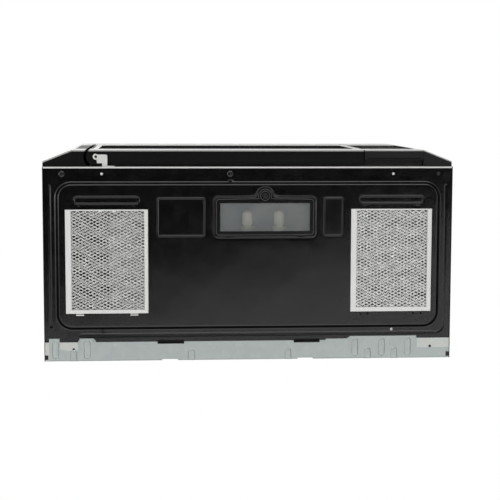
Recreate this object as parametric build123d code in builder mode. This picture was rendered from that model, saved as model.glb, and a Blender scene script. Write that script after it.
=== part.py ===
from build123d import *
import math
import os

# Over-the-range microwave oven, in millimetres. +Z is up, the door faces -Y, and the controls
# are at +X. The origin is the middle of the footprint, on the plane that the bottom pan rests on.

os.makedirs("parts", exist_ok=True)

# ---- Overall size ----
width = 758.8  # 29 7/8 in, the standard size that fits a 30 in opening
depth = 390.5  # 15 3/8 in, from the wall to the front of the door
height = 419.1  # 16 1/2 in
fascia_depth = 30.5  # door and fascia, in front of the steel body
sheet = 1.0  # steel sheet of the cabinet
gap = 0.3  # least space between pieces of different bodies
slip = 0.05  # running fit of a pin in its bore, on the radius
case_foot = 1.8  # height of the case's lower edges
case_corner = 3.0
hem = 10.0  # inward hem at the foot of the case's sides
foot_corner = (7.0, 8.0)  # small gusset in each rear corner of the case's foot
panel_setback = 2.75  # bottom panel's front edge, from the body's front
panel_rear_space = 28.25  # bottom panel's rear edge, from the wall

half_width = width / 2
inner_half = half_width - sheet
front = -depth / 2
rear = depth / 2
body_front = front + fascia_depth
body_top = height - sheet
cavity_front = body_front + sheet
panel_front = body_front + panel_setback
panel_rear = rear - panel_rear_space

# ---- Bottom pan ----
pan_depth = 4.0  # how far the middle is drawn down
pan_side_rim = 28.4
pan_front_rim = 33.25
pan_rear_rim = 64.25
pan_slope = 6.0
pan_corner = 24.0
bead = 2.5  # width of the pressed lines
bead_depth = 0.6
filter_width = 152.0
filter_length = 193.0
filter_thick = 8.0
filter_inset = (116.4, 113.9)  # of the left and right filters' middles from their side
filter_front_share = 0.645  # of the pan's spare length, in front of the filters
rail = 10.0  # filter frame's rails
front_rail = 2.5
strip = 1.2  # folded aluminium
mesh_columns = 7
mesh_rows = 8
mesh_open = 0.62  # side of each opening, as a share of the column's width
clip_half = 6.0
clip_z = 0.2
filter_play = 0.8
filter_lip = 6.0
tab_offset = 50.0
tab_width = 15.0
tab_reach = 4.0
oval_length = 122.0  # pressed oval in front of each filter
oval_height = 0.335  # as a share of the space in front of the filter
oval_share = 0.37  # its middle, from the filter, as a share of the space in front
blank_margins = (0.135, 0.22)  # plain pressed frames: share of the space left free at each side
blank_end = 1.6  # from the ends of the lamp recess
cross_bead = (65.4, 28.4, 13.0, 5.0)  # space left and right, space behind the pan, width
side_bead = (11.4, 262.0, 3.0)  # from the side, length, width
rim_screw_inset = (34.9, 26.2)  # black pan-head screws, from the left and right side
rim_screw_middle = -35.7
rim_screw_setback = 13.05  # from the body's front
rim_screw_heads = (7.0, 5.0)
rim_screw_head_height = 2.2
rim_screw_radius = 2.0
plated_inset = (108.1, 111.2)  # bright screws, from the left and right side
plated_rear_space = 9.5  # behind the pan
plated_head = (3.2, 1.8)
plated_radius = 1.8
screw_hole = 2.2
screw_length = 7.0
drain_slot = (6.0, 2.0)

pan_half = half_width - pan_side_rim
pan_front = body_front + pan_front_rim
pan_rear = rear - pan_rear_rim
rim = pan_depth
rim_top = rim + sheet
front_space = (pan_rear - pan_front - filter_length) * filter_front_share
oval = (oval_length, front_space * oval_height)
filter_x = (-half_width + filter_inset[0], half_width - filter_inset[1])
filter_front = pan_front + front_space
filter_y = filter_front + filter_length / 2
filter_rear = filter_front + filter_length
oval_y = filter_front - front_space * oval_share
rim_screw_y = body_front + rim_screw_setback
plated_y = (rim_screw_y, pan_rear + plated_rear_space)
rim_screws = (
    (-half_width + rim_screw_inset[0], rim_screw_y),
    (rim_screw_middle, rim_screw_y),
    (half_width - rim_screw_inset[1], rim_screw_y),
)
plated_screws = (
    (-half_width + plated_inset[0], plated_y[0]),
    (half_width - plated_inset[1], plated_y[0]),
    (half_width - plated_inset[1], plated_y[1]),
)
empty_hole = (-half_width + plated_inset[0], plated_y[1])

# ---- Cooktop lamp ----
lamp_x = 29.0
recess_length = 190.0
recess_width = 75.7
recess_space = 22.0  # between the pan's front edge and the recess
recess_corner = 8.0
recess_depth = 2.0
cover_play = 4.0  # all round the cover in its recess
cover_corner = 6.0
cover_rail = 7.7  # width of the cover's frame round the window
cover_thick = 1.5
lens_ledge = 1.3
lens_thick = 2.4
lamp_screw_out = 1.8  # in front of the recess's front edge
screw_bump = 17.0
cover_screw_head = (5.5, 0.9)
cover_screw_radius = 2.0
cover_screw_length = 6.0
knuckle_length = 12.0
knuckle_inset = 25.0
lamp_box_height = 48.0
lamp_box_space = 8.0  # lamp housing outside the window
bulb_offset = (-31.0, 28.5)
bulb_radius = 10.0
bulb_base = (7.0, 12.0)
bulb_taper = 5.0
bulb_level = 25.0  # above the recess
bulb_tip_space = 14.0
lens_play = 2.5  # between the window and the edge of its opening in the panel
screw_play = 0.3
socket_floor = 4.0
socket_radius = 12.0
socket_reach = 8.0
socket_bore = 8.0

recess_x = (lamp_x - recess_length / 2, lamp_x + recess_length / 2)
recess_y = (pan_front + recess_space, pan_front + recess_space + recess_width)
cover_x = (recess_x[0] + cover_play, recess_x[1] - cover_play)
cover_y = (recess_y[0] + cover_play, recess_y[1] - cover_play)
window_x = (cover_x[0] + cover_rail, cover_x[1] - cover_rail)
window_y = (cover_y[0] + cover_rail, cover_y[1] - cover_rail)
lamp_screw = (lamp_x, recess_y[0] - lamp_screw_out)
lamp_floor = recess_depth + sheet
bulb_z = lamp_floor + bulb_level

# ---- Rear panel and its bottom flange ----
flange_reach = 35.25
flange_z = rim - sheet
flange_front = rear - flange_reach
left_laps = ((7.7, 26.9, 7.0), (63.9, 90.0, 7.0))  # start, end and reach, from the left side
right_laps = ((234.4, 0.0, 2.5), (188.4, 62.7, 7.0))  # the same from the right side
rib_size = (31.0, 8.5)
rib_taper = 2.5
rib_setback = 21.75  # of the ribs' middle from the wall
left_ribs = (19.9, 77.7)
right_ribs = (179.4, 128.9, 79.4)
left_gussets = (52.9,)
middle_gussets = (-107.5, 73.2)
right_gussets = (155.4, 105.2)
gusset_length = 19.0
rib_drop = 1.2
flange_holes = (52.7, 36.7)  # from the left and right side
flange_hole = (2.4, 21.9)  # radius, and distance from the wall
hook_middle = -20.75
hook_spacing = 253.5  # between the wall plate's two hooks
hook_slot_width = 29.0
hook_slot_top = 15.0
hook_slot_step = 3.0  # depth of the slots' cut, and of the case's rear corners
upright_spacing = 230.0
upright_size = (300.0, 16.0)
upright_depth = 1.5  # ribs pressed inwards in the rear panel
left_tab = (207.7, 257.4)  # laps under the rear flange, from the left side
right_tab = (294.7, 245.9)
tab_joggle = (2.0, 4.0)
fold_lift = 0.2  # front frame's lower edge above the flange's level
front_hem = 5.0  # height of the hem behind the bottom rail
front_flange = 21.0  # depth of the flange that the bottom panel is screwed to
nut_notch = (9.0, 9.0)
bay_edge = 6.0
bay_foot = 30.0
hook_hole = (3.5, 6.5, 9.0, 15.0)  # left, right, below and above each hook

# ---- Oven cavity and turntable ----
cavity_side_left = 117.4
cavity_side_right = 189.4  # leaves the component bay beside the cavity
cavity_floor = 72.0
cavity_roof_space = 117.1  # from the cavity's roof to the top of the case
cavity_rear_space = 29.25
cavity_corner = 10.0
cavity_lip = 9.0
lamp_grid = (9.0, 3)  # pitch and count of the lamp's holes in the roof
lamp_hole = 3.2
oven_lamp_offset = (62.0, 58.0)  # from the cavity's left side and from its middle
wheel_radius = 7.0
wheel_width = 8.0
wheel_inset = 44.475  # of the wheels' circle, inside the tray's edge
wheel_count = 3
axle_end = 2.5  # beyond the wheel
axle_radius = 1.5
ring_width = 7.0
ring_thick = 4.0
tray_clearance = 12.4  # between the tray and the cavity's front and rear
tray_thick = 5.0
tray_rim = (14.0, 11.5, 3.5)  # width and height of the rising rim, and its lip
lug_circle = 13.0
lug = (5.0, 4.0)
shaft_radius = 3.5
shaft_length = 7.7
coupler_radius = 8.0
coupler_arm = (8.0, 5.0, 6.0)
motor_radius = 24.5
motor_height = 14.0
motor_ear = 12.0
shaft_hole = 9.0
guide_port = (38.0, 34.0)  # half length and half height of the opening in the cavity's side
mica_thick = 0.5
mica_lap = 6.0
lamp_base = (22.0, 18.0)  # half length and half width of the oven lamp's bracket
lamp_bracket = 30.0
lamp_bulb_z = 17.0
lamp_socket = (8.0, 14.0)
lamp_bulb = (11.0, 22.0)

cavity_left = -half_width + cavity_side_left
cavity_right = half_width - cavity_side_right
cavity_top = height - cavity_roof_space
cavity_rear = rear - cavity_rear_space
turn_x = (cavity_left + cavity_right) / 2
turn_y = (cavity_front + cavity_rear) / 2
tray_radius = (cavity_rear - cavity_front) / 2 - tray_clearance
wheel_circle = tray_radius - wheel_inset
tray_z = cavity_floor + 2 * wheel_radius + 2 * gap
axle_z = cavity_floor + gap + wheel_radius

# ---- Door ----
hinge_side = 97.4
hinge_setback = 12.25  # of the pins behind the door's face
hinge_clearance = 0.75  # between the door's round edge and the body as it swings
socket_space = 5.5  # between the round edge and the hollow of the left wing
pin_radius = 2.35
pin_length = 16.0
door_bottom = 14.0
door_head_space = 58.1  # from the door's top to the top of the case
door_seal = 1.85  # between the closed door and the body
skin = 1.5
glass_start = 80.0  # height where the black glass begins
glass_head = 61.0  # skin above the glass
glass_thick = 4.0
glass_seat = 1.2
glass_fit = 0.2
glass_ends = (2.0, 8.0)
window_ends = (37.0, 49.0)  # from the pin and from the door's right edge
window_bands = (15.0, 18.0)  # inside the glass, below and above
inner_panel_ends = (8.0, 4.0, 44.0, 45.0)  # left, right, bottom and top, inside the door
inner_panel_thick = 4.0
choke = (4.0, 6.0, 3.0)  # outside and inside the window's edge, and depth
hook_inset = 12.5
hook_thick = 3.0
hook_shape = ((-11.25, -5.0), (14.75, -5.0), (18.75, 1.0), (12.75, 1.0), (9.75, -1.0),
              (6.75, -1.0), (6.75, 4.0), (-11.25, 8.0))  # from the body's front and the hook's level
latch_hole = (8.0, 12.0)  # below and above each hook in the inner panel
latch_sides = (8.5, 11.5)  # of the latch body, left and right of the hooks
latch_ends = (24.0, 22.0)  # from the cavity's floor and roof
latch_depth = 46.75
latch_pocket = 24.75
switch_size = (7.0, 28.0, 16.0)
switch_front = 2.0  # before the lever's pivot
switch_lug = (2.0, 3.0, 5.0)  # inset, width and length of each terminal
switch_shares = (0.75, -0.25, -1.125)  # of a switch's height, from the low, middle and high hook
hook_low = 46.0  # above the cavity's floor
hook_high = 52.0  # below the cavity's roof
latch_lift = 3.0
latch_bar = (17.25, 10.25, 20.0)  # front and back, before the body, and reach past the hooks
bracket_thick = 2.0
bracket_gap = 1.2
bracket_eye = 5.6
bracket_arm = (3.5, 5.0, 11.0, 21.5)  # edges before and behind the pin, inner edge and end
bracket_foot = (34.0, 32.0, 1.5)  # width, height and thickness

hinge_x = -half_width + hinge_side
hinge_y = front + hinge_setback
hinge_round = fascia_depth - hinge_setback - hinge_clearance
hinge_socket = hinge_round + socket_space
door_top = height - door_head_space
door_back = body_front - door_seal
glass_band = (glass_start, door_top - glass_head)
hook_levels = (cavity_floor + hook_low, cavity_top - hook_high)

# ---- Fascia ----
bevel = (52.4, 20.75)  # across and along each bevelled end
control_side = 163.4
control_width = 109.8
door_space = 2.0  # between the door and the control panel
wing_gap = 0.4
fascia_bottom = 12.0
fascia_wall = 2.5
grille_space = 4.5  # between the door and the grille
slot_columns = 8
slot_rows = 3
slot_pitch = 12.0
slot_bar = 9.8  # between neighbouring slots
slot_height = 6.0
touch_inset = 4.0
touch_fit = 0.1
touch_ledge = 4.0
raised_rear = (3.0, 2.5, 15.75, 9.0)  # left and right border, front edge and rise of the underside
button_ends = (10.5, 14.3)  # from the control panel's edges
button_z = (26.5, 55.5)
button_depth = 10.0
button_edge = 0.8
button_stem = (3.0, 27.0)
button_flange = (10.0, 22.0, 2.0)
lever_offset = 15.0  # from the control panel's edge
lever_thick = 3.0
lever_pivot_setback = 14.75
lever_pivot_z = 100.0
lever_hub = 6.0
lever_pin = 2.5
lever_arm = 6.0
lever_reach = 30.0  # above the pivot
lever_space = 4.0  # round the lever in the component tray
post = (3.6, 9.0)
board_thick = 1.6
board_tall = 15.0
relay = (18.0, 24.0)  # size and pitch
relay_count = 3
relay_drop = 50.0  # below the board's top
board_blocks = ((18.0, 40.0, 30.0), (65.0, 50.0, 24.0))  # place along and up the board, and size
display = (28.0, 6.0, 42.0, 18.0)  # side border, thickness, and lower and upper distance from the top

bevel_x = half_width - bevel[0]
bevel_y = front + bevel[1]
control_left = half_width - control_side
control_right = control_left + control_width
door_right = control_left - door_space
hook_x = door_right - hook_inset
grille_bottom = door_top + grille_space
button_x = (control_left + button_ends[0], control_right - button_ends[1])
lever_x = (control_left + lever_offset, control_left + lever_offset + lever_thick)
lever_y = body_front + lever_pivot_setback
stem_end = front + button_depth + button_stem[1]

# ---- Component bay ----
tray_level = 64.0
tray_upstand = 20.0
vent_slot = (5.0, 50.0)
vent_pitch = 12.0
vent_count = 6
guide_depth = 30.0
guide_half = 42.0
guide_above = 60.0
guide_below = 46.0
guide_hole = 14.0
magnetron_rear_space = 150.25
magnetron_head_space = 64.0  # below the cavity's roof
antenna = (8.0, 22.0)
anode = (20.0, 50.0)
fin_count = 5
fin_pitch = 8.0
fin_thick = 0.8
yoke_half = 38.0
yoke_plate = 2.0
yoke_flange = 10.0
choke_box = 30.0
core_side = 88.4  # transformer's middle, from the inner side
core_setback = 124.75
core_half = (48.0, 33.0)
core_tall = 80.0
core_leg = 16.0
core_base = (60.0, 25.0, 2.0)
winding_start = 17.0  # above the tray
winding_tall = 21.0
winding_space = 4.0
winding_play = 2.0  # between the windings and the core's outer legs
winding_reach = 50.0
winding_corner = 14.0
capacitor_side = 38.4
capacitor_back = 17.0  # of its middle, behind the magnetron's
capacitor_size = (54.0, 34.0)
capacitor_tall = 92.0
terminal = (4.0, 6.0, 12.0)
terminal_reach = 10.0
diode = (3.5, 16.0)
fan_side = 80.0  # from the cavity's right side
fan_below_roof = 62.0
fan_radius = 52.0
fan_hub = 16.0
fan_thick = 22.0
fan_rear_space = 35.25
fan_blades = 5
blade_root = 1.0  # depth of each blade in the hub
fan_blade = (30.0, 1.6, 34.0)  # chord, thickness and pitch angle
fan_shaft = (3.0, 24.0)
shroud_half = 62.0
shroud_plate = 1.5
shroud_play = 2.0  # round the blades
shroud_arm = 1.1  # length of the arms, as a share of the shroud's side
fan_motor_half = 30.0
fan_motor_bevel = 5.0
fan_arm = (3.0, 5.0, 8.0)  # distance behind the blades, thickness and width

magnetron_y = rear - magnetron_rear_space
magnetron_z = cavity_top - magnetron_head_space
guide_outer = cavity_right + sheet + guide_depth
core_x = inner_half - core_side
core_y = body_front + core_setback
capacitor_x = inner_half - capacitor_side
capacitor_y = magnetron_y + capacitor_back
fan_x = cavity_right + fan_side
fan_z = cavity_top - fan_below_roof
fan_y = (rear - fan_rear_space - fan_thick, rear - fan_rear_space)

# ---- Exhaust blower and duct ----
blower_x = -20.0
blower_rear_space = 67.25
blower_head_space = 59.1
scroll_radius = 50.0
scroll_inner = 42.0  # half the space between the two scrolls, where the motor sits
scroll_width = 78.0
scroll_wall = 1.2
scroll_throat = 28.0  # front wall of the outlet, before the wheels' axis
inlet_radius = 35.0
rotor_radius = 42.0
rotor_width = 66.0
rotor_ring = 6.0
rotor_disc = 3.0
blade_count = 14
blade = (5.0, 1.2, 35.0)  # chord, thickness and angle
blower_motor = (34.0, 72.0, 6.0)  # radius, length and bevel
motor_bracket = (16.0, 8.0)
blower_shaft_radius = 4.0
blower_shaft_length = 216.0
duct_width = 254.0  # 3 1/4 x 10 in exhaust duct
duct_depth = 82.6
duct_rear_space = 56.25
duct_collar = 14.1  # below the top of the case
adapter_margin = (13.0, 15.0)  # of the adapter plate beside and in front of the duct
damper_lift = 10.0  # above the foot of the duct's collar
damper_thick = 1.2
damper_space = 2.0
damper_pivot = (1.5, 3.0)  # radius, and distance from the duct's rear wall
damper_stop = (12.0, 4.0, 3.0)
port_half = 126.0  # opening behind the grille
port_ends = (9.5, 11.1)
charcoal_thick = 14.0
charcoal_lap = (4.0, 3.0)
charcoal_cells = (9, 2)
charcoal_bar = 5.0
bolt_spacing = 500.0  # bolts through the wall cabinet above
bolt_y = -60.0
bolt_radius = 3.2
nut_radius = 7.0
nut_thick = 6.0
cord_inset = (44.4, 45.25)  # power cord's hole, from the right side and the rear
cord_radius = 12.5
grommet_lip = 3.0
grommet_bore = 4.5
grommet_depth = 8.0

blower_y = rear - blower_rear_space
blower_z = height - blower_head_space
duct_y = rear - duct_rear_space
duct_base = height - duct_collar
damper_z = duct_base + damper_lift
pivot_y = duct_y + duct_depth / 2 - damper_pivot[1]
adapter = (blower_x - duct_width / 2 - adapter_margin[0],
           blower_x + duct_width / 2 + adapter_margin[0],
           duct_y - duct_depth / 2 - adapter_margin[1])
port = (blower_x - port_half, blower_x + port_half, grille_bottom + port_ends[0],
        body_top - port_ends[1])
cord_hole = (half_width - cord_inset[0], rear - cord_inset[1])


# ---- Helpers ----
def facing_front(y):
    """Sketch plane seen from the front: local x is X, local y is Z and the normal is -Y."""
    return Plane.XZ.offset(-y)


def facing_side(x):
    """Sketch plane seen from the right: local x is Y, local y is Z and the normal is +X."""
    return Plane.YZ.offset(x)


def level(z):
    """Sketch plane at a height."""
    return Plane.XY.offset(z)


def rect(x0, x1, y0, y1, corner=0.0, mode=Mode.ADD):
    """Rectangle of the open sketch between two corners, rounded where a corner radius is given."""
    with Locations(((x0 + x1) / 2, (y0 + y1) / 2)):
        if corner:
            RectangleRounded(x1 - x0, y1 - y0, corner, mode=mode)
        else:
            Rectangle(x1 - x0, y1 - y0, mode=mode)


def spot(point, radius, mode=Mode.ADD):
    """Disc of the open sketch about a point."""
    with Locations(point):
        Circle(radius, mode=mode)


def block(x0, x1, y0, y1, z0, z1, mode=Mode.ADD):
    """Straight-sided block of the open part between two corners."""
    with Locations(((x0 + x1) / 2, (y0 + y1) / 2, (z0 + z1) / 2)):
        Box(x1 - x0, y1 - y0, z1 - z0, mode=mode)


def rod(start, direction, radius, length, mode=Mode.ADD):
    """Round bar of the open part from a point along a direction."""
    with Locations(Plane(origin=start, z_dir=direction)):
        Cylinder(radius, length, align=(Align.CENTER, Align.CENTER, Align.MIN), mode=mode)


def tapered(middle, length, across, inset):
    """Upright rib of the open sketch with tapered ends, smaller all round by inset."""
    half, reach = across / 2 - inset, length / 2 - inset
    side, end = reach - rib_taper, half - rib_taper
    with Locations(middle):
        Polygon((-half, -side), (-end, -reach), (end, -reach), (half, -side), (half, side),
                (end, reach), (-end, reach), (-half, side), align=None)


def save(block_part, name):
    """Labels a finished piece and writes it to its file."""
    block_part.part.label = name
    export_step(block_part.part, f"parts/{name}.step")


# ---- Cabinet: case ----
with BuildPart() as outer_case:
    with BuildSketch(facing_front(body_front)):
        rect(-half_width, half_width, case_foot, height)
        rect(-inner_half, inner_half, case_foot - sheet, body_top, mode=Mode.SUBTRACT)
    extrude(amount=-(rear - body_front))
    fillet(outer_case.edges().filter_by(Axis.Y).group_by(Axis.Z)[-1], case_corner)
    # Notch for the exhaust adapter, and the holes for the cabinet's bolts and the power cord.
    with BuildSketch(level(height)):
        rect(adapter[0] - gap, adapter[1] + gap, adapter[2] - gap, rear)
        with Locations((0, bolt_y)):
            with GridLocations(bolt_spacing, 0, 2, 1):
                Circle(bolt_radius)
        spot(cord_hole, cord_radius)
    extrude(amount=-sheet, mode=Mode.SUBTRACT)
    for side in (-1, 1):
        edges = sorted((side * half_width, side * (half_width - hem)))
        block(*edges, panel_front, rear - sheet, rim_top, rim_top + sheet)
        corner = sorted((side * half_width, side * (half_width - foot_corner[0])))
        block(*corner, rear - foot_corner[1] - hook_slot_step, rear - hook_slot_step,
              case_foot, case_foot + sheet)
save(outer_case, "outer_case")

with BuildPart() as exhaust_adapter:
    with BuildSketch(level(body_top)):
        rect(*adapter, rear)
        with Locations((blower_x, duct_y)):
            Rectangle(duct_width, duct_depth, mode=Mode.SUBTRACT)
    extrude(amount=sheet)
save(exhaust_adapter, "exhaust_adapter")


# ---- Cabinet: bottom panel ----
def filter_opening(x, extra):
    """Filter's outline in the open sketch, larger all round by extra."""
    with Locations((x, filter_y)):
        Rectangle(filter_width + 2 * extra, filter_length + 2 * extra)


def pressed_frame(x0, x1):
    """Plain pressed frame beside the lamp, between two sides."""
    y0, y1 = recess_y[0] + blank_end, recess_y[1] - blank_end
    rect(x0, x1, y0, y1)
    rect(x0 + bead, x1 - bead, y0 + bead, y1 - bead, mode=Mode.SUBTRACT)


left_space = recess_x[0] - (filter_x[0] + filter_width / 2)
right_space = filter_x[1] - filter_width / 2 - recess_x[1]
with BuildPart() as bottom_panel:
    with BuildSketch(level(rim)):
        rect(-inner_half, inner_half, panel_front, panel_rear)
    extrude(amount=sheet)
    # Pan drawn down out of the sheet, with sloping sides.
    for lift, mode in ((0.0, Mode.ADD), (sheet, Mode.SUBTRACT)):
        with BuildSketch(level(lift)):
            rect(-pan_half, pan_half, pan_front, pan_rear, pan_corner)
        with BuildSketch(level(lift + pan_depth)):
            rect(-pan_half - pan_slope, pan_half + pan_slope, pan_front - pan_slope,
                 pan_rear + pan_slope, pan_corner + pan_slope)
        loft(ruled=True, mode=mode)
    # Recess for the lamp cover, pressed up out of the pan, and the opening for the lamp.
    with BuildSketch(level(0)) as recess_wall:
        rect(recess_x[0] - sheet, recess_x[1] + sheet, recess_y[0] - sheet, recess_y[1] + sheet,
             recess_corner + sheet)
        spot(lamp_screw, screw_bump + sheet)
    extrude(recess_wall.sketch, amount=recess_depth + sheet)
    with BuildSketch(level(0)) as recess:
        rect(*recess_x, *recess_y, recess_corner)
        spot(lamp_screw, screw_bump)
    extrude(recess.sketch, amount=recess_depth, mode=Mode.SUBTRACT)
    with BuildSketch(level(recess_depth)) as lamp_opening:
        rect(window_x[0] - lens_play, window_x[1] + lens_play, window_y[0] - lens_play,
             window_y[1] + lens_play)
        spot(lamp_screw, cover_screw_radius + screw_play)
    extrude(lamp_opening.sketch, amount=sheet, mode=Mode.SUBTRACT)
    # Lines pressed up in the pan, shown as grooves below.
    with BuildSketch(level(0)) as pan_lines:
        for middle in filter_x:
            with Locations((middle, oval_y)):
                SlotOverall(*oval)
                SlotOverall(oval[0] - 2 * bead, oval[1] - 2 * bead, mode=Mode.SUBTRACT)
        pressed_frame(recess_x[0] - left_space * (1 - blank_margins[0]),
                      recess_x[0] - left_space * blank_margins[0])
        pressed_frame(recess_x[1] + right_space * blank_margins[1],
                      recess_x[1] + right_space * (1 - blank_margins[1]))
    extrude(pan_lines.sketch, amount=bead_depth, mode=Mode.SUBTRACT)
    # Cross bead and side beads of the rim, pressed up.
    with BuildSketch(level(rim)) as rim_lines:
        rect(-inner_half + cross_bead[0], inner_half - cross_bead[1], pan_rear + cross_bead[2],
             pan_rear + cross_bead[2] + cross_bead[3])
        for side in (-1, 1):
            with Locations((side * (inner_half - side_bead[0]), 0)):
                Rectangle(side_bead[2], side_bead[1])
    extrude(rim_lines.sketch, amount=bead_depth, mode=Mode.SUBTRACT)
    extrude(Pos(0, 0, sheet) * rim_lines.sketch, amount=bead_depth)
    # Filter wells: a turned-up wall round each opening, with a lip above the filter.
    lip_z = gap + filter_thick + gap
    for middle in filter_x:
        with BuildSketch(level(0)) as well:
            filter_opening(middle, filter_play + sheet)
        extrude(well.sketch, amount=lip_z + sheet)
        with BuildSketch(level(0)) as opening:
            filter_opening(middle, filter_play)
        extrude(opening.sketch, amount=lip_z, mode=Mode.SUBTRACT)
        with BuildSketch(level(0)) as lip_opening:
            filter_opening(middle, -filter_lip)
        extrude(lip_opening.sketch, amount=lip_z + 2 * sheet, mode=Mode.SUBTRACT)
        with BuildSketch(level(0)) as notches:
            with Locations((middle, filter_rear + filter_play)):
                with GridLocations(2 * tab_offset, 0, 2, 1):
                    Rectangle(tab_width + 2 * filter_play, 2 * (tab_reach + filter_play))
        extrude(notches.sketch, amount=filter_thick / 2 + 2 * gap, mode=Mode.SUBTRACT)
    # Tabs that lap under the rear flange, joggled down at its edge.
    for x0, x1 in ((-inner_half + left_tab[0], -inner_half + left_tab[1]),
                   (inner_half - right_tab[0], inner_half - right_tab[1])):
        block(x0, x1, flange_front - tab_joggle[0], flange_front, flange_z - sheet, rim)
        block(x0, x1, flange_front, flange_front + tab_joggle[1], flange_z - sheet, flange_z)
    # Square holes for the rim's screws, a round one left empty, and a small slot.
    with BuildSketch(level(rim)) as holes:
        spot(empty_hole, screw_hole)
        with Locations(*rim_screws, *plated_screws):
            Rectangle(2 * screw_hole, 2 * screw_hole)
        with Locations((rim_screw_middle, pan_front - pan_slope - drain_slot[1])):
            Rectangle(*drain_slot)
    extrude(holes.sketch, amount=sheet, mode=Mode.SUBTRACT)
save(bottom_panel, "bottom_panel")


# ---- Cabinet: rear panel ----
def flange_ribs(z, inset):
    """Outlines of the pressed ribs in the flange, smaller all round by inset. The gussets run
    out at the bend of the panel."""
    ribs = [-inner_half + x for x in left_ribs] + [inner_half - x for x in right_ribs]
    gussets = [-inner_half + x for x in left_gussets] + [inner_half - x for x in right_gussets]
    with BuildSketch(level(z)) as outlines:
        for x in ribs:
            tapered((x, rear - rib_setback), *rib_size, inset)
        for x in (*gussets, *middle_gussets):
            tapered((x, rear), 2 * gusset_length, rib_size[1], inset)
        rect(-inner_half, inner_half, flange_front, rear - inset, mode=Mode.INTERSECT)
    return outlines.sketch


hook_slots = (hook_middle - hook_spacing / 2, hook_middle + hook_spacing / 2)
with BuildPart() as rear_panel:
    with BuildSketch(facing_front(rear - sheet)):
        rect(-inner_half, inner_half, flange_z, body_top)
    extrude(amount=-sheet)
    with BuildSketch(level(flange_z)):
        rect(-inner_half, inner_half, flange_front, rear)
        for start, end, reach in left_laps:
            rect(-inner_half + start, -inner_half + end, flange_front - reach, flange_front)
        for start, end, reach in right_laps:
            rect(inner_half - start, inner_half - end, flange_front - reach, flange_front)
        for x in (-inner_half + flange_holes[0], inner_half - flange_holes[1]):
            spot((x, rear - flange_hole[1]), flange_hole[0], mode=Mode.SUBTRACT)
    extrude(amount=sheet)
    # Ribs pressed down in the flange, the short ones running out at the bend.
    extrude(flange_ribs(flange_z - rib_drop, 0.0), amount=rib_drop)
    extrude(flange_ribs(flange_z - rib_drop + sheet, sheet), amount=rib_drop, mode=Mode.SUBTRACT)
    # Slots for the wall plate's hooks, and upright ribs pressed inwards.
    for x in hook_slots:
        block(x - hook_slot_width / 2, x + hook_slot_width / 2, rear - hook_slot_step, rear,
              flange_z, hook_slot_top, mode=Mode.SUBTRACT)
    with BuildSketch(facing_front(rear - sheet)) as uprights:
        with GridLocations(upright_spacing, 0, 3, 1):
            with Locations((0, (cavity_floor + body_top) / 2)):
                Rectangle(upright_size[1], upright_size[0])
    extrude(uprights.sketch, amount=upright_depth)
    with BuildSketch(facing_front(rear)) as uprights_back:
        with GridLocations(upright_spacing, 0, 3, 1):
            with Locations((0, (cavity_floor + body_top) / 2)):
                Rectangle(upright_size[1] - 2 * sheet, upright_size[0] - 2 * sheet)
    extrude(uprights_back.sketch, amount=upright_depth, mode=Mode.SUBTRACT)
save(rear_panel, "rear_panel")

# ---- Cabinet: front frame ----
with BuildPart() as front_frame:
    with BuildSketch(facing_front(body_front)):
        rect(-inner_half, inner_half, flange_z + fold_lift, body_top)
        rect(cavity_left, cavity_right, cavity_floor, cavity_top, cavity_corner,
             mode=Mode.SUBTRACT)
        rect(control_left + bay_edge, control_right - bay_edge, bay_foot, cavity_top,
             mode=Mode.SUBTRACT)
        rect(*port, mode=Mode.SUBTRACT)
        for z in hook_levels:
            rect(hook_x - hook_hole[0], hook_x + hook_hole[1], z - hook_hole[2],
                 z + hook_hole[3], mode=Mode.SUBTRACT)
    extrude(amount=-sheet)
    # Folded hem along the bottom, and the flange that the bottom panel is screwed to, notched
    # at each screw for its nut.
    block(-inner_half, inner_half, body_front, panel_front, flange_z + fold_lift,
          rim_top + front_hem)
    block(-inner_half + hem, inner_half - hem, cavity_front, panel_front + front_flange,
          rim_top, rim_top + sheet)
    with BuildSketch(level(rim_top)) as nut_notches:
        with Locations(*rim_screws, *plated_screws[:2]):
            Rectangle(*nut_notch)
    extrude(nut_notches.sketch, amount=sheet, mode=Mode.SUBTRACT)
save(front_frame, "front_frame")

# ---- Oven cavity ----
with BuildPart() as oven_cavity:
    with BuildSketch(facing_front(cavity_front)):
        rect(cavity_left - sheet, cavity_right + sheet, cavity_floor - sheet, cavity_top + sheet,
             cavity_corner + sheet)
    extrude(amount=-(cavity_rear + sheet - cavity_front))
    with BuildSketch(facing_front(cavity_front)):
        rect(cavity_left, cavity_right, cavity_floor, cavity_top, cavity_corner)
    extrude(amount=-(cavity_rear - cavity_front), mode=Mode.SUBTRACT)
    with BuildSketch(facing_front(cavity_front)):
        rect(cavity_left - cavity_lip, cavity_right + sheet, cavity_floor - sheet,
             cavity_top + cavity_lip)
        rect(cavity_left, cavity_right, cavity_floor, cavity_top, cavity_corner,
             mode=Mode.SUBTRACT)
    extrude(amount=-sheet)
    rod((turn_x, turn_y, cavity_floor - 2 * sheet), (0, 0, 1), shaft_hole, 3 * sheet,
        mode=Mode.SUBTRACT)
    block(cavity_right - sheet, cavity_right + 2 * sheet, magnetron_y - guide_port[0],
          magnetron_y + guide_port[0], magnetron_z - guide_port[1], magnetron_z + guide_port[1],
          mode=Mode.SUBTRACT)
    with BuildSketch(level(cavity_top)) as lamp_holes:
        with Locations((cavity_left + oven_lamp_offset[0], turn_y + oven_lamp_offset[1])):
            with GridLocations(lamp_grid[0], lamp_grid[0], lamp_grid[1], lamp_grid[1]):
                RegularPolygon(lamp_hole, 6)
    extrude(lamp_holes.sketch, amount=sheet, mode=Mode.SUBTRACT)
save(oven_cavity, "oven_cavity")

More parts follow.
